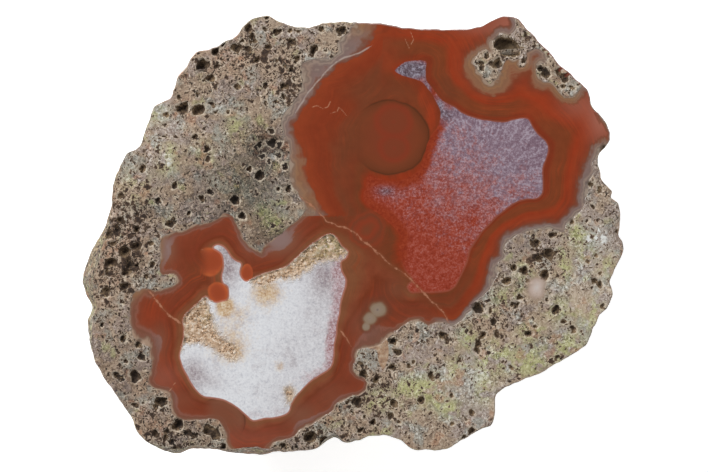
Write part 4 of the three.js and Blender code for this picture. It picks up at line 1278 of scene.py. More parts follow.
# %% Rough back material
DULL_LAVA, SHINIER_AGATE = 0.85, 0.3
SIDE_SHADE, WEATHERED_SHARE, CHIP_RELIEF = 0.85, 0.4, 0.8
BACK_BUMP_STRENGTH, BACK_BUMP_HEIGHT = 0.9, 1.2
back_stone, net, place = new_stone("broken_lava")
lava = use_group(net, "lava_rock", Place=place, Pale=0.0, Grey=0.0)
chipped = net.minus(net.noise(place, 1.5, 4, 0.65), 0.5)
clinging = net.minus(net.noise(place, 5.0, 4, 0.6), 0.5)
agate = use_group(net, "banded_agate", Place=place, Left=0.0, Tone=0.3, Blush=0.0,
                  Dull=net.step(clinging, -0.2, 0.3), Tan=0.4)
skin_edge = net.plus(net.times(net.read("wall"), 0.3), net.times(clinging, 6.0))
skin_edge = net.plus(skin_edge, net.times(chipped, 2.0))
uneven_wall = net.plus(net.read("wall"), net.times(chipped, 1.6))
in_agate = net.times(net.step(skin_edge, -0.1, 0.1), net.step(uneven_wall, -0.1, 0.15))
weathered = net.times(net.step(chipped, -0.08, 0.16), WEATHERED_SHARE)
agate_side = net.blend(weathered, agate["Color"], paint(112, 78, 62))
agate_side = net.vector("SCALE", agate_side, SIDE_SHADE)
height = net.plus(net.times(lava["Height"], net.minus(1.0, in_agate)),
                  net.times(net.times(chipped, in_agate), CHIP_RELIEF))
colour = net.blend(in_agate, lava["Color"], agate_side)
rough = net.minus(DULL_LAVA, net.times(in_agate, SHINIER_AGATE))
stone_surface(net, colour, rough, height, BACK_BUMP_STRENGTH, BACK_BUMP_HEIGHT)
print("back material nodes", len(net.tree.nodes))

# %% [markdown]
# ## Patches of colour on the face
#
# The lava is greener in one place and the agate redder in another. Such patches could be painted on an
# image. Here each is a soft oval, and the ovals of one table add up to one map.

# %% Patches of the face: place, half widths and strength
BROWN_AND_RED = [
    (2.7, 16.4, 2.7, 5.5, 0.5), (1.6, 27.8, 5, 3, 0.6), (9, 27.6, 4, 2.4, 0.6),
    (18, 29.7, 1.5, 3, 0.6), (19.8, 27.3, 3, 2.2, 0.6), (-29.3, -6.7, 2.4, 2.6, 0.7),
    (7.6, 31.6, 2.6, 2.6, -0.5), (6, 36, 3, 3, -0.4), (-1.7, 10.8, 1.5, 3, -0.3),
    (20.5, 33.3, 1.3, 3.4, -0.6), (35.7, 24.7, 5.4, 3.4, -0.65), (9, -9.8, 1.8, 1.8, 0.8),
    (-37.5, -14.5, 3, 3.4, -0.5), (13.4, 27, 1.1, 2.6, -0.8), (15.2, 23, 1, 3, -1)]
BLUSHES = [
    (47.5, 22.6, 2.4, 4.6, 0.8), (43, 25, 3, 2.5, 0.4), (30, 40.8, 3.5, 2.5, 0.6),
    (24, 39.6, 3.5, 1.4, 0.35), (-35.5, -26.7, 3.2, 2.6, 0.3), (-20, -38, 9, 2.6, 0.2)]
WIDE_HALO = [
    (-13.2, -1, 3.2, 2.4, 2.2), (47, 20, 2.5, 3, 0.5), (-36, -1.8, 2.4, 2.6, 2.1),
    (28.5, 29.5, 7, 3.2, 1.8), (32.8, 30.4, 2.4, 2.2, -1.3), (40, 26, 4, 3, -0.3),
    (28.3, -2.6, 1.6, 1.6, -0.4), (9, -17, 4, 2, -0.3), (-38.5, -19.5, 3.5, 3.5, 2.6),
    (-38, -27, 3, 3, 0.5), (-32.5, -33, 4, 3, 0.5), (5, -19, 3, 3, 2.4),
    (-8.5, -35, 4, 2, 0.45), (-18.6, -2.2, 2.2, 2.6, 0.2), (30, -8, 4, 6, 0.2),
    (44.2, 9, 2.2, 4, 1.6), (27.5, -7.5, 1.6, 2, 1.2), (-40, -12, 3, 4, 0.8)]
WALL_SHIFTS = [
    (-33.5, -34, 3.5, 3, 1.4), (-40.5, -19.5, 2, 3, 0.9), (4.5, -19.8, 2.6, 2.6, 2.8),
    (1.5, -29, 3, 3, 1.4), (-17, -4.2, 2.2, 2, 1.3), (27, 30.5, 6, 3, 0.3)]
DULLS = [
    (-9.5, -33.9, 3.4, 2.4, 0.7), (-35.2, -2.4, 1.8, 2.8, 1.2), (-36.3, -19.7, 1.6, 3, 0.5),
    (-4, -30, 3, 3, 0.3), (-32, -31, 3, 2, 0.3), (2, -16.5, 3, 3, 0.4),
    (8, -10.2, 2.4, 2.4, 0.25), (-13.4, -0.6, 3.4, 2.8, 1.2), (-19.6, -1, 1.6, 3.2, 0.4)]
TAN_HALO = [
    (-9.5, 12, 2.6, 6.5, 1), (-7, 6.5, 2, 2, 0.9), (-36.8, -1.8, 1.4, 3.8, 1.3),
    (-41, -10.4, 2, 1, 0.9), (48, 20.5, 2.5, 4.5, 0.6), (2, 40.5, 4, 2.5, 1),
    (-43, -11, 2, 2, 0.6), (-22, -40.5, 8, 2, 0.6), (11.5, -16.5, 3, 1, 0.5),
    (-9, 30.5, 1.4, 3, 0.3), (27.5, 30, 8, 6, 1.9), (40, 26, 4.5, 3.5, 1.2)]
GREENS = [
    (-37.2, 23.8, 2.2, 2.2, 0.6), (-21.9, 21, 1.8, 2.4, 0.7), (-34.4, 16.4, 1.6, 1.6, 0.6),
    (-35, 13.2, 2, 2, 0.5), (-40.7, 9.2, 3, 3.5, 0.5), (-28.1, 15.5, 2.5, 2.5, 0.4),
    (-14.4, 2.4, 2, 1.8, 0.8), (-16.9, 4.5, 1.6, 1.6, 0.6), (-34.4, 2.8, 1.3, 1.3, 0.6),
    (42.8, 0.3, 1.9, 1.9, 0.9), (44.7, -3.3, 1.7, 1.7, 0.8), (40.5, -6, 1.5, 2.2, 0.9),
    (32.9, -6.7, 2, 2.2, 0.8), (48.8, -5.6, 1.3, 2.2, 0.7), (39.3, -13.6, 2.5, 2.2, 0.8),
    (33.6, -18, 1.7, 1.7, 0.9), (28.9, -11.5, 2.2, 1.8, 0.8), (41.2, -20.6, 3.4, 2.8, 0.8),
    (34, -23.8, 4.5, 3, 1), (22.2, -19.1, 1.9, 1.9, 0.9), (26.2, -24, 2.4, 2.4, 0.9),
    (45.4, -16.2, 1.6, 1.6, 0.7), (46.7, -13.2, 1.4, 1.8, 0.8), (9.7, -28.6, 2.6, 1.8, 0.9),
    (4.8, -31.3, 2.8, 2, 1), (14.2, -29.2, 2.8, 2.6, 1), (18.8, -32.6, 2.4, 1.8, 0.9),
    (19.8, -25, 1.6, 2.6, 0.7), (25.1, -29.2, 1.8, 2.4, 0.7), (6.5, -37.1, 1.3, 1.3, 0.8),
    (-3, -35.6, 1.6, 1.2, 0.5), (28.3, -20.6, 2, 2, 0.6), (-20, 12, 8, 8, 0.15)]
RUSTS = [
    (-45, -3, 4, 9, 0.9), (-42, -31, 3, 4, 0.4), (40.3, 30.5, 1.5, 1.5, 1),
    (-31.9, 24.4, 1.8, 2, 0.9), (-35.3, -31, 2, 2, 0.5), (-36.3, -35.8, 2.4, 2, 0.6),
    (0.8, -34.3, 1.8, 1.4, 0.6), (-27.5, -35.5, 2, 2, 0.5), (-24, 34, 6, 4, 0.4),
    (27.5, -17.5, 2, 3, 0.4), (-15.5, 16.5, 3, 3, 0.9)]
PALES = [
    (-25, 25, 2, 2, 0.4), (-32.3, 20.8, 1.3, 1.3, 0.8), (-35, 14.2, 1.4, 1.4, 0.7),
    # The patch at (-14.6, 15.2) whitens small quartz crystals in the dusky hollow, partly their own white and
    # partly painted glints.
    (46.6, -0.2, 2.2, 2.4, 1.2), (-14.6, 15.2, 1.6, 1.2, 0.5), (-8.5, 40, 2, 1, 0.3),
    (-15.3, -2, 1.2, 1.2, 0.4)]
GREYS = [
    (40.7, -17.8, 2.5, 2, 0.6), (36, -20.5, 3.5, 1.5, 0.6), (22.8, -27, 4, 4.5, 0.7),
    (-16.2, 8.9, 5, 5.5, 0.6), (45, -8, 3, 3.5, 0.3), (46, 0, 3, 3, 0.6)]
LIGHTS = [
    (24.5, -28, 15, 10, 0.14), (45, -9, 9, 13, 0.16), (-38, 20, 6.5, 8, 0.15),
    (-26, 6.5, 13, 8, -0.16), (-44, -27, 6, 10, -0.14), (-18, -41, 14, 3, -0.14),
    (-14, -1.5, 4, 3, -0.18), (-18, 14, 6, 8, -0.1), (31, 36, 6, 4, 0.05),
    (-18.5, 9, 5, 7, -0.13), (-25, 1, 3.5, 3, -0.13), (-45.5, 9, 3.5, 5, 0.13),
    (-38.5, 5.5, 3, 2.5, -0.1), (-28, 28, 8, 5, -0.06), (-31.7, -37, 6, 3.5, -0.13),
    (-51, -9, 3, 5, -0.06), (-38.6, -6, 3, 3, -0.09), (43.5, 6.2, 3, 4, 0.07),
    # The patch at (-15.7, 16.7) is painted shade: it darkens the rock over the dusky hollows, whose shallow
    # mesh gives little shade of its own.
    (33, 0, 5, 3, -0.06), (-15.7, 16.7, 3.4, 3.4, -0.42), (-14.5, 0, 3, 2.6, -0.16),
    (-18.2, -0.7, 2, 2, -0.12), (29.7, 36, 2.2, 2, 0.4)]
PINK_QUARTZ = [
    (-3, -9, 1.4, 5.5, 0.5), (-3.8, -20.5, 1.3, 4.5, 0.7), (-8.2, -27, 2.2, 1.8, 0.5),
    (-13, -33.5, 2.6, 1.2, 0.4), (-19, -33.8, 3.5, 0.9, 0.4)]
LILAC_GREYS = [
    (-30.2, -25.7, 2.6, 2.6, 0.9), (-12, -22, 3, 4, 0.25), (-27, -27.5, 3, 1.8, 0.4),
    (-6, -16, 4.5, 12, 0.3), (-12, -30.5, 5, 4, 0.3), (-23.6, -5, 2.6, 4.8, 1.2),
    (-4.8, -7.5, 3, 4, 0.8)]
MOSSES = [(-4.0, -1.8, 3.0, 2.4, 1.0), (-8.0, -4.5, 2.5, 1.6, 0.4), (-27.5, -15.0, 1.2, 2.0, 0.5)]
BUFFS = [(6.2, -22.2, 1.1, 3.6, 1.3), (3.8, -20.4, 2.0, 1.4, 0.8), (-0.5, -36.5, 1.5, 1.2, 0.5)]
STAINS = [
    (-16.1, -10.6, 3.2, 3, 0.8), (-24, -13.2, 1.4, 1.7, 1.5), (-21, -14.5, 1.6, 1.8, 0.35),
    (-13.5, -24.6, 1, 1, 0.6), (-23.5, -19.5, 5, 4.5, 0.5), (-22.4, -22.2, 2.2, 1.8, 0.5),
    (-11.5, -29.5, 1.6, 1.6, 0.5)]
BLUE_POCKET = [
    (11.5, 31.6, 3.2, 1.7, 1.4), (14.4, 28.2, 0.8, 1.6, 0.6), (16.8, 24.6, 1.2, 1.8, 0.8),
    (18.3, 23, 1.5, 1.2, 0.6), (6.6, 8.6, 1.8, 0.9, 0.7)]
PATCHES = {"tone": BROWN_AND_RED, "blush": BLUSHES, "dull": DULLS, "tan": TAN_HALO, "green": GREENS,
           "rust": RUSTS, "pale": PALES, "grey": GREYS, "light": LIGHTS, "porous": POROUS_PATCHES,
           "pink": PINK_QUARTZ, "lilac": LILAC_GREYS, "moss": MOSSES, "buff": BUFFS, "stain": STAINS,
           "blue": BLUE_POCKET}
print("maps made of patches", len(PATCHES), "patches", sum(len(table) for table in PATCHES.values()))

# %% [markdown]
# ## Lines on the face
#
# Veins, threads, scratches and a painted highlight on a small chip follow paths of a few points, and so does
# the edge where the pale coats of the upper left turn red. The map of a line is the distance to its path,
# with a sign that tells its sides apart.

# %% Paths on the face and the distance to them
RED_EDGE = np.array([
    (4.9, 42.5), (4.9, 39.2), (4.4, 38.2), (3.4, 36), (2, 34.6), (0, 33.6), (-2.9, 32.2),
    (-4.6, 29.9), (-6.5, 27.5), (-9.1, 24.1), (-10.8, 21.2), (-10.6, 20.2), (-8.6, 14.7), (-8, 10.5),
    (-6.3, 6.7), (-5, 5.2), (-3.3, 3.8)])
THREADS = [
    np.array([(-10.6, 23.5), (-8.7, 26.5), (-6.3, 29.7), (-2.9, 33.3), (-1.1, 34.1), (1.5, 34.9),
              (3.4, 36)]),
    np.array([(20.9, -19.3), (22.5, -20.6), (24.2, -22.8), (25.3, -24.6)]),
]
VEINS = [
    np.array([(-9.1, 7.1), (-8.2, 6.4), (-7.2, 5.8), (-5.9, 4.3), (-4.4, 2.8), (-2.5, 2), (-0.8, 1.6),
              (0.6, 0.9), (1.9, -0.3), (3.6, -1.8), (5.1, -3.1), (6.8, -4.7), (8.7, -6.2), (10.8, -7.5),
              (12.5, -9.2), (14.6, -11.7), (16.3, -13), (17.5, -14.5), (18.2, -15.7)]),
    np.array([(-38.2, -10.5), (-36.9, -12.3), (-35.5, -14), (-34.2, -15.3), (-32.9, -16.1),
              (-32.1, -17)]),
    np.array([(-32.1, -16), (-31, -14.4), (-29.4, -13), (-28.8, -12.5)]),
    np.array([(-1.9, -17.8), (-1.2, -18.9), (-0.4, -20.2)]),
]
SCRATCHES_AND_GLINT = [
    np.array([(-7.4, 24.6), (-6.4, 24.9), (-5.4, 24.3), (-4.4, 24.6), (-3.9, 25.7)]),
    np.array([(-3.9, 23.4), (-2.6, 23.8), (-2.3, 24.6), (-1.7, 24), (-0.9, 23)]),
    np.array([(10.2, 37.7), (11.1, 35.7)]), np.array([(11.3, 38.9), (11.9, 37.4), (11.4, 36.5)]),
    # The short path at (-28.5, -2.5) is no scratch: it paints a highlight on a small chip at the edge of a
    # lobe.
    np.array([(-35, -30.1), (-33.4, -27.8)]), np.array([(-28.5, -2.5), (-27.7, -2.7)]),
]


def nearest_offset(points, paths):
    """Signed distance to the nearest piece of the paths: positive on its left, negative on its right."""
    nearest, signed = np.full(len(points), np.inf), np.zeros(len(points))
    for path in paths:
        for start, end in zip(path[:-1], path[1:]):
            run = end - start
            from_start = points[:, :2] - start
            share = np.clip(from_start @ run / (run @ run), 0, 1)
            away = np.linalg.norm(from_start - share[:, None] * run, axis=1)
            side = np.where(run[0] * from_start[:, 1] - run[1] * from_start[:, 0] >= 0, 1, -1)
            closer = away < nearest
            nearest = np.where(closer, away, nearest)
            signed = np.where(closer, side * away, signed)
    return signed, nearest


print("veins", len(VEINS), "threads", len(THREADS), "scratches", len(SCRATCHES_AND_GLINT))

# %% [markdown]
# ## Round forms on the face
#
# The map of an oval is the distance from its middle as a share of its own radius, so one ramp fits an oval
# of any size. Where several ovals share a map, the nearest counts.

# %% Ovals on the face: middle and half widths
EYE, KNOT = [(7.3, 18.9, 7.7, 7.2)], [(3.0, 1.2, 4.2, 4.0)]
PUPILS = [(8.1, 21.9, 3.5, 3.3), (8.2, 16.9, 3.0, 2.5)]
ARCH, EYELET = [(-24.9, -35.1, 4.8, 4.7)], [(35.2, -9.7, 1.9, 2.2)]
LOBES = [(-27.0, -4.8, 2.7, 2.8), (-25.3, -10.7, 1.9, 2.0), (-19.7, -6.9, 1.1, 1.8)]
LOBE_STEEPNESS = 2.5
BEADS = [(5.1, -13.8, 1.7, 1.6), (3.6, -15.5, 1.5, 1.5), (2.9, -17.2, 0.8, 0.9)]


def in_ovals(points, ovals):
    """0 in the middle of the nearest oval, 1 at its edge: the length of the offset over the half widths."""
    return np.min([np.hypot((points[:, 0] - x) / wide, (points[:, 1] - y) / high)
                   for x, y, wide, high in ovals], axis=0)


print("the middle of the face in the eye's map", round(float(in_ovals(np.zeros((1, 2)), EYE)[0]), 2))

# %% [markdown]
# ## Where a point lies in the coats
#
# From the wall inwards come the halo of pale coats, the band of red agate and the quartz. Halo and band are
# measured as shares of the way, since the coats are thin in one place and thick in another. In the upper
# left they are the widest, and the red edge is traced.

# %% Coats
HALO_WIDTH, WIDER_ON_FLANK = 0.95, 0.6
TRACED_TO_X, TRACED_FROM_Y = 6.0, 3.8
LEAST_WIDTH = 1e-6


def flank_share(points):
    """0 on the left flank of the large nodule and 1 on the right one, across a leaning line."""
    return ease(points[:, 0] + 0.3 * (points[:, 1] - 10), 12.0, 22.0)


def bend_borders(points):
    """The points moved a little, so that traced borders are as uneven as in the stone."""
    return wobble(wobble(points, 2.4, 0.16, salt=21), 0.8, 0.06, salt=24)


def coat_maps(points, bent):
    """Where each point lies in the coats: signed distances, share of the halo, and share of the way across.

    The halo is the share of the way from the wall to the red agate. The band is the share of the rest of
    the way to the quartz.
    """
    wall = signed_distance(bent, AGATE_WALL)
    wall = np.minimum(wall, -signed_distance(bent, LAVA_CORNER)) + soft_patches(points, WALL_SHIFTS)
    lilac, white = signed_distance(bent, LILAC_QUARTZ), signed_distance(bent, WHITE_QUARTZ)
    halo_width = HALO_WIDTH + WIDER_ON_FLANK * flank_share(points) + soft_patches(points, WIDE_HALO)
    past_halo = np.maximum(wall - halo_width, 0)
    halo = wall / halo_width
    into_red = nearest_offset(bent, [RED_EDGE])[0]
    traced = (points[:, 0] < TRACED_TO_X) & (points[:, 1] > TRACED_FROM_Y)
    whole_way = np.maximum(np.abs(wall) + np.abs(into_red), LEAST_WIDTH)
    share = np.where(into_red > 0, 1 + into_red, wall / whole_way)
    halo = np.where(traced, np.minimum(share, wall + 0.3), halo)
    past_halo = np.where(traced, np.maximum(into_red, 0), past_halo)
    band = past_halo / (past_halo + np.maximum(-np.maximum(lilac, white), 0) + LEAST_WIDTH)
    return wall, lilac, white, halo, band


print("flank share at the middle and 25 mm right", flank_share(np.array([[0.0, 0.0], [25.0, 0.0]])))

# %% [markdown]
# ## All the maps of the face
#
# Everything that the face material reads comes together here. Left tells the two nodules apart, with the
# first vein as their border. Flush leads from lilac to red across the right quartz, and fibrous and margin
# follow its rim.

# %% Maps of the face
LEFT_NODULE_TO_X = -9.1
FLUSH_FROM, FLUSH_WAY = (30, 18), (16, 23)
STRONGER_GREEN, PINK_RIM = 1.2, 0.65


def face_maps(points):
    """Every map that the face material reads, as a dictionary of arrays."""
    x, y = points[:, 0], points[:, 1]
    bent = bend_borders(points)
    wall, lilac, white, halo, band = coat_maps(points, bent)
    core = np.maximum(lilac, white)
    divide = nearest_offset(points, [VEINS[0]])[0]
    left = np.where(x < LEFT_NODULE_TO_X, 1.0, ease(-divide, -0.6, 3.0))
    left = np.where((x < 0) & (y > 4.5), 0.0, left)
    left = np.where(lilac > -0.3, 0.0, left)
    left = np.where(white > -0.3, 1.0, left)
    flank = flank_share(points)
    from_core = np.maximum(flank, left)
    vein, vein_away = nearest_offset(wobble(points, 1.1, 0.22, salt=81), VEINS)
    thread, thread_away = nearest_offset(wobble(points, 1.5, 0.2, salt=85), THREADS)
    left_border = 1 - ease(x - 0.3 * y, 10.0, 14.0)
    right_border = (1 - ease(white, -0.2, 2.8)) * ease(x, -9.0, -5.0)
    flush = (FLUSH_FROM[0] - x) * FLUSH_WAY[0] + (FLUSH_FROM[1] - y) * FLUSH_WAY[1]
    rim_fibres = (1 - ease(lilac, 1.0, 7.0)) * ease(x, 15.0, 22.0)
    maps = {label: soft_patches(points, table) for label, table in PATCHES.items()}
    for label in ("tan", "moss", "lilac", "blue"):
        maps[label] = np.clip(maps[label], 0, 1)
    maps["porous"] += PLAIN_POROUS
    maps["green"] *= STRONGER_GREEN
    maps["pink"] += PINK_RIM * right_border
    maps.update({
        "wall": wall, "core": core, "halo": halo, "band": band, "left": left, "flank": flank,
        "coat": wall * (1 - from_core) - core * from_core,
        "eye": in_ovals(bent, EYE), "eye_fade": ease(x, 0.5, 5.0), "pupil": in_ovals(bent, PUPILS),
        "knot": in_ovals(bent, KNOT), "bead": in_ovals(bent, BEADS), "eyelet": in_ovals(bent, EYELET),
        "arch": in_ovals(bent, ARCH), "arch_fade": ease(y, -38.0, -35.0) * ease(x, -28.5, -25.5),
        "lobe": (1 - in_ovals(bent, LOBES)) * LOBE_STEEPNESS,
        "lobe_glow": np.where(y > -8.2, ease(x, -30.0, -24.8), 0.95),
        "flush": flush / (FLUSH_WAY[0] ** 2 + FLUSH_WAY[1] ** 2),
        "margin": left_border * (1 - ease(lilac, 0.5, 3.4)) * (1 - maps["blue"]),
        "fibrous": rim_fibres * (0.45 + 0.55 * ease(y, 6.0, 15.0)),
        "seam": np.where(white > lilac, 0.6, 0.2 * (1 - left_border)),
        "vein": vein, "vein_near": 1 - ease(vein_away, 0.7, 1.0),
        "thread": thread, "thread_near": 1 - ease(thread_away, 0.7, 1.0),
        "scratch_and_glint": nearest_offset(points, SCRATCHES_AND_GLINT)[1]})
    return maps


print("maps of the face", len(face_maps(np.zeros((1, 3)))))

# %% [markdown]
# ## The sawn face
#
# The face is one disc. Its points are the share of the way out times the radius of the cut edge. Every
# point is then lowered by the hollows, and keeps how deep it lies for the dark insides of the bubbles.

# %% Build the face
FACE_COUNT = 300
FACE_FLOOR_DEPTH, FACE_FLOOR_INSET = 4.0, 4.5
CRUST_DEPTH, CRUST_UNEVEN, LEAST_CRUST = 0.34, 0.26, 0.1


def cut_edge(bearing):
    """Radius of the cut face: the ragged outline less the inset."""
    return ragged_rim(bearing) - edge_shape(bearing)[0]


def on_face(reach, bearing):
    """Points at the height of the face, by their distance from the middle and their bearing."""
    height = np.full(len(reach), FACE_HEIGHT)
    return np.stack([reach * np.cos(bearing), reach * np.sin(bearing), height], axis=1)


def fill_hidden(maps, count, value):
    """Gives the hidden points, up to the count of points, the same value in every map."""
    return {label: np.append(values, np.full(count - len(values), value)) for label, values in maps.items()}


def rough_hollows(points, core):
    """Distance into the patches that the saw only grazed, and the depth there: noise round a mean depth."""
    bent = wobble(points, 0.9, 0.35, salt=31)
    grazed = np.max([signed_distance(bent, patch, 2) for patch in ROUGH_PATCHES], axis=0)
    sunk = np.maximum(CRUST_DEPTH + CRUST_UNEVEN * layered_noise(points, 0.9, 3, salt=71), LEAST_CRUST)
    return grazed, ease(grazed, 0.0, 0.5) * sunk * ease(core, -0.1, 0.3)


share, bearing, faces = disc_grid(FACE_COUNT)
loop = rim_loop(FACE_COUNT)
flat = on_face(share * cut_edge(bearing), bearing)
maps = face_maps(flat)
depth, level = face_hollows(flat, maps["wall"])
grazed, crust = rough_hollows(flat, maps["core"])
points = flat.copy()
points[:, 2] -= np.maximum(depth, crust)
maps.update(level=level, crust=crust, graze=grazed)
rim_heights = points[loop, 2]
points, faces = close_disc(points, faces, loop, FACE_FLOOR_INSET, FACE_FLOOR_DEPTH, upward=True)
mesh_piece("sawn_face", points, faces, fill_hidden(maps, len(points), -1.0), face_stone)

# %% [markdown]
# ## Where the crystals stand
#
# Quartz that still had room ended in six-sided points. The saw only grazed these patches, so the points are
# still there, small and packed together. They stand on a grid in the hollows, each shifted within its own
# cell, and only where the hollow is deep enough to hold them.

# %% Places of the crystals
CRYSTAL_SPACING = 0.56
LEAST_SUNK, LEAST_GRAZED = 0.15, 0.25


def crystal_places():
    """Places on a square grid over the rough patches, each shifted within its cell."""
    corners = np.vstack(ROUGH_PATCHES)
    counts = np.ceil(np.ptp(corners, axis=0) / CRYSTAL_SPACING).astype(int)
    cells = np.stack(np.meshgrid(np.arange(counts[0]), np.arange(counts[1]), [0]), axis=-1).reshape(-1, 3)
    shift = np.stack([cell_random(cells, 201), cell_random(cells, 202)], axis=1)
    spots = np.zeros(cells.shape)
    spots[:, :2] = corners.min(axis=0) + (cells[:, :2] + shift) * CRYSTAL_SPACING
    return spots, cells


spots, cells = crystal_places()
grazed, sunk = rough_hollows(spots, signed_distance(bend_borders(spots), WHITE_QUARTZ))
kept = (sunk > LEAST_SUNK) & (grazed > LEAST_GRAZED)
spots, cells, sunk = spots[kept], cells[kept], sunk[kept]
count = len(spots)
print("crystals", count)

# %% [markdown]
# ## The shape of a crystal
#
# Cones with six sides would do, but so many separate objects are slow. Here all the crystals are worked out
# at once, as 13 points each: six at the root, six at the shoulder and the tip. Each is sunk a little into
# the floor, leans its own way, and ends below the polished face.

# %% Build the crystals
CRYSTAL_RADIUS, CRYSTAL_SPREAD = 0.24, 0.24
CRYSTAL_LEAN = 0.9
ROOT_DEPTH, TIP_BELOW_FACE = 0.3, 0.03
TIP_SPREAD, END_STEEPNESS, SHOULDER_WIDTH, LEAST_SIDE = 0.7, 0.7, 0.9, 0.05
radius = CRYSTAL_RADIUS + CRYSTAL_SPREAD * cell_random(cells, 203) ** 2
root = FACE_HEIGHT - sunk - ROOT_DEPTH
tip = FACE_HEIGHT - TIP_BELOW_FACE - TIP_SPREAD * sunk * cell_random(cells, 204)
shoulder = np.maximum(tip - END_STEEPNESS * radius, root + LEAST_SIDE)
lean = CRYSTAL_LEAN * (np.stack([cell_random(cells, 205), cell_random(cells, 206)], axis=1) - 0.5)
turn = 2 * math.pi * cell_random(cells, 207)[:, None] + np.arange(6) * math.pi / 3
ring = np.stack([np.cos(turn), np.sin(turn)], axis=2) * radius[:, None, None]
crystal = np.zeros((count, 13, 3))
crystal[:, 0:6, :2] = spots[:, None, :2] + ring
crystal[:, 0:6, 2] = root[:, None]
moved = lean * (shoulder - root)[:, None]
crystal[:, 6:12, :2] = spots[:, None, :2] + SHOULDER_WIDTH * ring + moved[:, None]
crystal[:, 6:12, 2] = shoulder[:, None]
crystal[:, 12, :2] = spots[:, :2] + lean * (tip - root)[:, None]
crystal[:, 12, 2] = tip
first = 13 * np.arange(count)[:, None]
low, high = first + np.arange(6), first + 6 + np.arange(6)
next_low, next_high = np.roll(low, -1, axis=1), np.roll(high, -1, axis=1)
sides = np.stack([low, next_low, next_high, high], axis=2).reshape(-1, 4)
ends = np.stack([high, next_high, np.broadcast_to(first + 12, high.shape)], axis=2).reshape(-1, 3)
crystal_faces = sides.tolist() + ends.tolist() + low[:, ::-1].tolist()
crystal_maps = {"tone": np.repeat(cell_random(cells, 208) - 0.5, 13),
                "moss": np.repeat(np.clip(soft_patches(spots, MOSSES), 0, 1), 13)}
crystal_points = crystal.reshape(-1, 3)
crystals = mesh_piece("quartz_points", crystal_points, crystal_faces, crystal_maps, crystal_stone)
crystals.data.shade_flat()

# %% [markdown]
# ## Agate on the broken side
#
# A nodule is a round body, so it reaches the broken side of the stone where it comes close to the outline.
# The back reads the same coats as the face, drawn inwards with the depth below it.

# %% Maps of the agate below the face
NODULE_DEPTH, NODULE_REACH = 24.0, 24.0
SIDE_HALO, SIDE_BAND = 1.1, 9.0


def nodule_maps(points):
    """Where the agate reaches the broken side: the maps of the face, drawn in with depth.

    A nodule is about as deep as it is wide, so its wall comes in with depth as the edge of an ellipsoid
    does: by the reach times one less the root of one less the squared share of the depth.
    """
    share = np.clip((FACE_HEIGHT - points[:, 2]) / NODULE_DEPTH, 0, 1)
    drawn_in = NODULE_REACH * (1 - np.sqrt(1 - share**2))
    bent = wobble(wobble(points, 2.4, 0.16, salt=21), 5.0, 0.9 * share[:, None], salt=27)
    wall = signed_distance(bent, AGATE_WALL, 2) - drawn_in
    return {"wall": wall, "halo": wall / SIDE_HALO, "coat": wall, "flank": flank_share(points),
            "band": np.clip((wall - SIDE_HALO) / SIDE_BAND, 0, 1)}


outline_maps = nodule_maps(np.column_stack([RIM, np.full(len(RIM), FACE_HEIGHT - 1.0)]))
print("share of the outline in agate 1 mm down", round(float(np.mean(outline_maps["wall"] > 0)), 2))

# %% [markdown]
# ## The back
#
# The back uses the same disc with the same rim, so the two surfaces meet at the cut edge. The first few
# rings are the slope from the cut edge to the outline. The rest follow the rough shape, with grain and
# bubbles pressed in along the way out of it. The lowest points are worn level, for the stone to rest on.

# %% Shape of the back
BACK_COUNT = 300
SLOPE_RINGS, PRESS_RINGS = 5, 8
BACK_LID_DEPTH, BACK_LID_INSET = 4.6, 5.2
CLOSER_TO_MIDDLE = 0.72
GRAIN_DEPTH, AGATE_GRAIN = 0.35, 0.4
BACK_BUBBLES = ((6.0, 0.9, 2.9, 0.5, 111), (2.9, 0.5, 1.5, 0.6, 121), (1.7, 0.3, 0.8, 0.5, 131))
share, bearing, faces = disc_grid(BACK_COUNT)
loop = rim_loop(BACK_COUNT)
rings = BACK_COUNT // 2
step = np.round((1 - share) * rings)
along = np.clip((step - SLOPE_RINGS) / (rings - SLOPE_RINGS), 0, 1)
fraction = 1 - (1 - along) ** (1 + CLOSER_TO_MIDDLE * along)
points, outward = rough_surface(bearing, fraction)
agate_maps = nodule_maps(points)
in_lava = 1 - ease(agate_maps["wall"], -0.3, 0.4)
grain = layered_noise(points, 3.2, 4, salt=91)
bent = wobble(wobble(points, 2.0, 0.6, salt=101), 0.9, 0.25, salt=105)
holes = np.max([bubble_depth(bent, *sizes) for sizes in BACK_BUBBLES], axis=0) * in_lava
press = ease(step, SLOPE_RINGS, SLOPE_RINGS + PRESS_RINGS)
grain_share = AGATE_GRAIN + (1 - AGATE_GRAIN) * in_lava
pressed_in = press * (holes + GRAIN_DEPTH + GRAIN_DEPTH * grain * grain_share)
points = points - outward * pressed_in[:, None]
slope = ease(step, 0, SLOPE_RINGS)[:, None] ** 0.8
on_slope = on_face(cut_edge(bearing), bearing) * (1 - slope) + points * slope
points = np.where(step[:, None] <= SLOPE_RINGS, on_slope, points)
points[loop, 2] = rim_heights
points[:, 2] = np.maximum(points[:, 2], 0)
print("deepest bubble of the back in mm", round(float(holes.max()), 2))

# %% [markdown]
# ## Maps and mesh of the back
#
# Nobody has seen the back, so its porous, green and rusty patches are smooth noise. A hidden lid lies
# inside it, like the floor inside the face.

# %% Build the back
back_maps = {"level": np.where(holes > 0, 0.45 * holes, -0.5) * press - 0.4 * (1 - press),
             "porous": 0.45 + 0.35 * smooth_noise(points, 9.0, 151),
             "green": 0.25 + 0.5 * smooth_noise(points, 7.0, 161),
             "rust": 0.2 + 0.4 * smooth_noise(points, 11.0, 171),
             "light": 0.12 * smooth_noise(points, 8.0, 181)}
back_maps.update(agate_maps)
points, faces = close_disc(points, faces[:, ::-1], loop, BACK_LID_INSET, BACK_LID_DEPTH, upward=False)
mesh_piece("rough_back", points, faces, fill_hidden(back_maps, len(points), 0.0), back_stone)

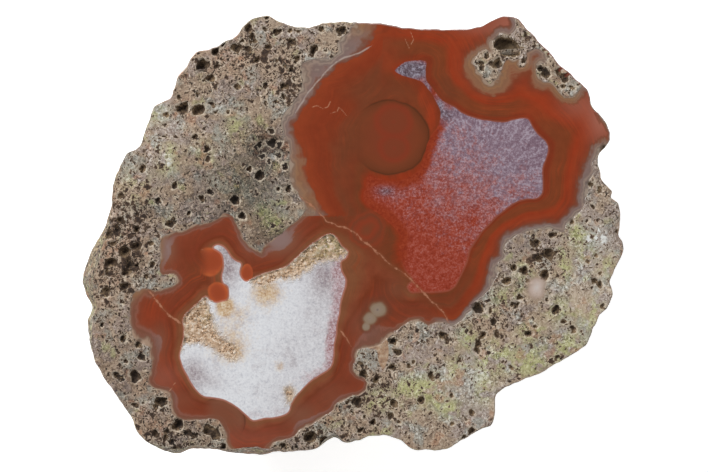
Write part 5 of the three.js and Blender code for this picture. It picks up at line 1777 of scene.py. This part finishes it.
# %% [markdown]
# ## Floor and sky
#
# The stone lies on an evenly white floor. Under lamps alone it would show their falloff, so it also glows a
# little. The sky is bright to the camera but weak as a light, so that the bubbles stay dark inside.

# %% Floor and sky
FLOOR_REACH, FLOOR_GLOW, SKY_LIGHT, SKY_SHOWN = 2, 0.7, 0.1, 0.95
floor_stone = bpy.data.materials.new("pale_floor")
floor_stone.use_nodes = True
floor_skin = floor_stone.node_tree.nodes["Principled BSDF"]
floor_skin.inputs["Base Color"].default_value = (0.8, 0.8, 0.8, 1)
floor_skin.inputs["Roughness"].default_value = 0.9
floor_skin.inputs["Emission Color"].default_value = (1, 1, 1, 1)
floor_skin.inputs["Emission Strength"].default_value = FLOOR_GLOW
floor_mesh = bpy.data.meshes.new("floor")
corners = [(x * FLOOR_REACH, y * FLOOR_REACH, 0) for x, y in ((-1, -1), (1, -1), (1, 1), (-1, 1))]
floor_mesh.from_pydata(corners, [], [(0, 1, 2, 3)])
floor_mesh.materials.append(floor_stone)
floor = bpy.data.objects.new("floor", floor_mesh)
bpy.context.scene.collection.objects.link(floor)
world = bpy.data.worlds.new("studio")
bpy.context.scene.world = world
world.use_nodes = True
sky = Net(world.node_tree)
seen = sky.node("ShaderNodeLightPath").outputs["Is Camera Ray"]
sky_strength = sky.plus(sky.times(seen, SKY_SHOWN - SKY_LIGHT), SKY_LIGHT)
world.node_tree.nodes["Background"].inputs["Color"].default_value = (1, 1, 1, 1)
sky.feed(world.node_tree.nodes["Background"].inputs["Strength"], sky_strength)
bpy.context.scene.view_settings.view_transform = "Standard"
print("sky to the camera", SKY_SHOWN, "and as a light", SKY_LIGHT)

# %% [markdown]
# ## Camera
#
# The camera looks straight down through a long lens, which keeps the sides of the stone out of sight. Its
# distance is the width of the picture on the face, times the lens over the sensor.

# %% Camera
PHOTO_MM_PER_PIXEL = 0.19
PHOTO_WIDTH = 708
LENS, SENSOR = 100.0, 36.0
AIM_X, AIM_Y = 0.57, 0.1
camera_data = bpy.data.cameras.new("camera")
camera_data.lens = LENS
camera_data.sensor_width = SENSOR
camera = bpy.data.objects.new("camera", camera_data)
distance = PHOTO_WIDTH * PHOTO_MM_PER_PIXEL * LENS / SENSOR
camera.location = (AIM_X * MM, AIM_Y * MM, (FACE_HEIGHT + distance) * MM)
bpy.context.scene.collection.objects.link(camera)
bpy.context.scene.camera = camera
print("camera above the face by", round(distance), "mm")

# %% [markdown]
# ## Light
#
# Three soft lamps stand round the stone. The key from the upper left gives the hollows their dark side, and
# the others are wider and weaker. All are low enough not to be mirrored into the camera by the polish.

# %% Lamps
AIM_HEIGHT = 0.02


def soft_light(name, place, size, power):
    """A square area light that faces the stone."""
    data = bpy.data.lights.new(name, "AREA")
    data.size = size
    data.energy = power
    lamp = bpy.data.objects.new(name, data)
    lamp.location = place
    direction = np.array(place) - (0, 0, AIM_HEIGHT)
    lamp.rotation_euler = (math.acos(direction[2] / np.linalg.norm(direction)), 0,
                           math.atan2(direction[1], direction[0]) + math.pi / 2)
    bpy.context.scene.collection.objects.link(lamp)


soft_light("key", (-0.4, 0.38, 0.42), 0.2, 4.6)
soft_light("fill", (0.5, 0.2, 0.35), 0.4, 1.25)
soft_light("front", (0.05, -0.55, 0.35), 0.4, 1.15)
print("lamps", len(bpy.data.lights))
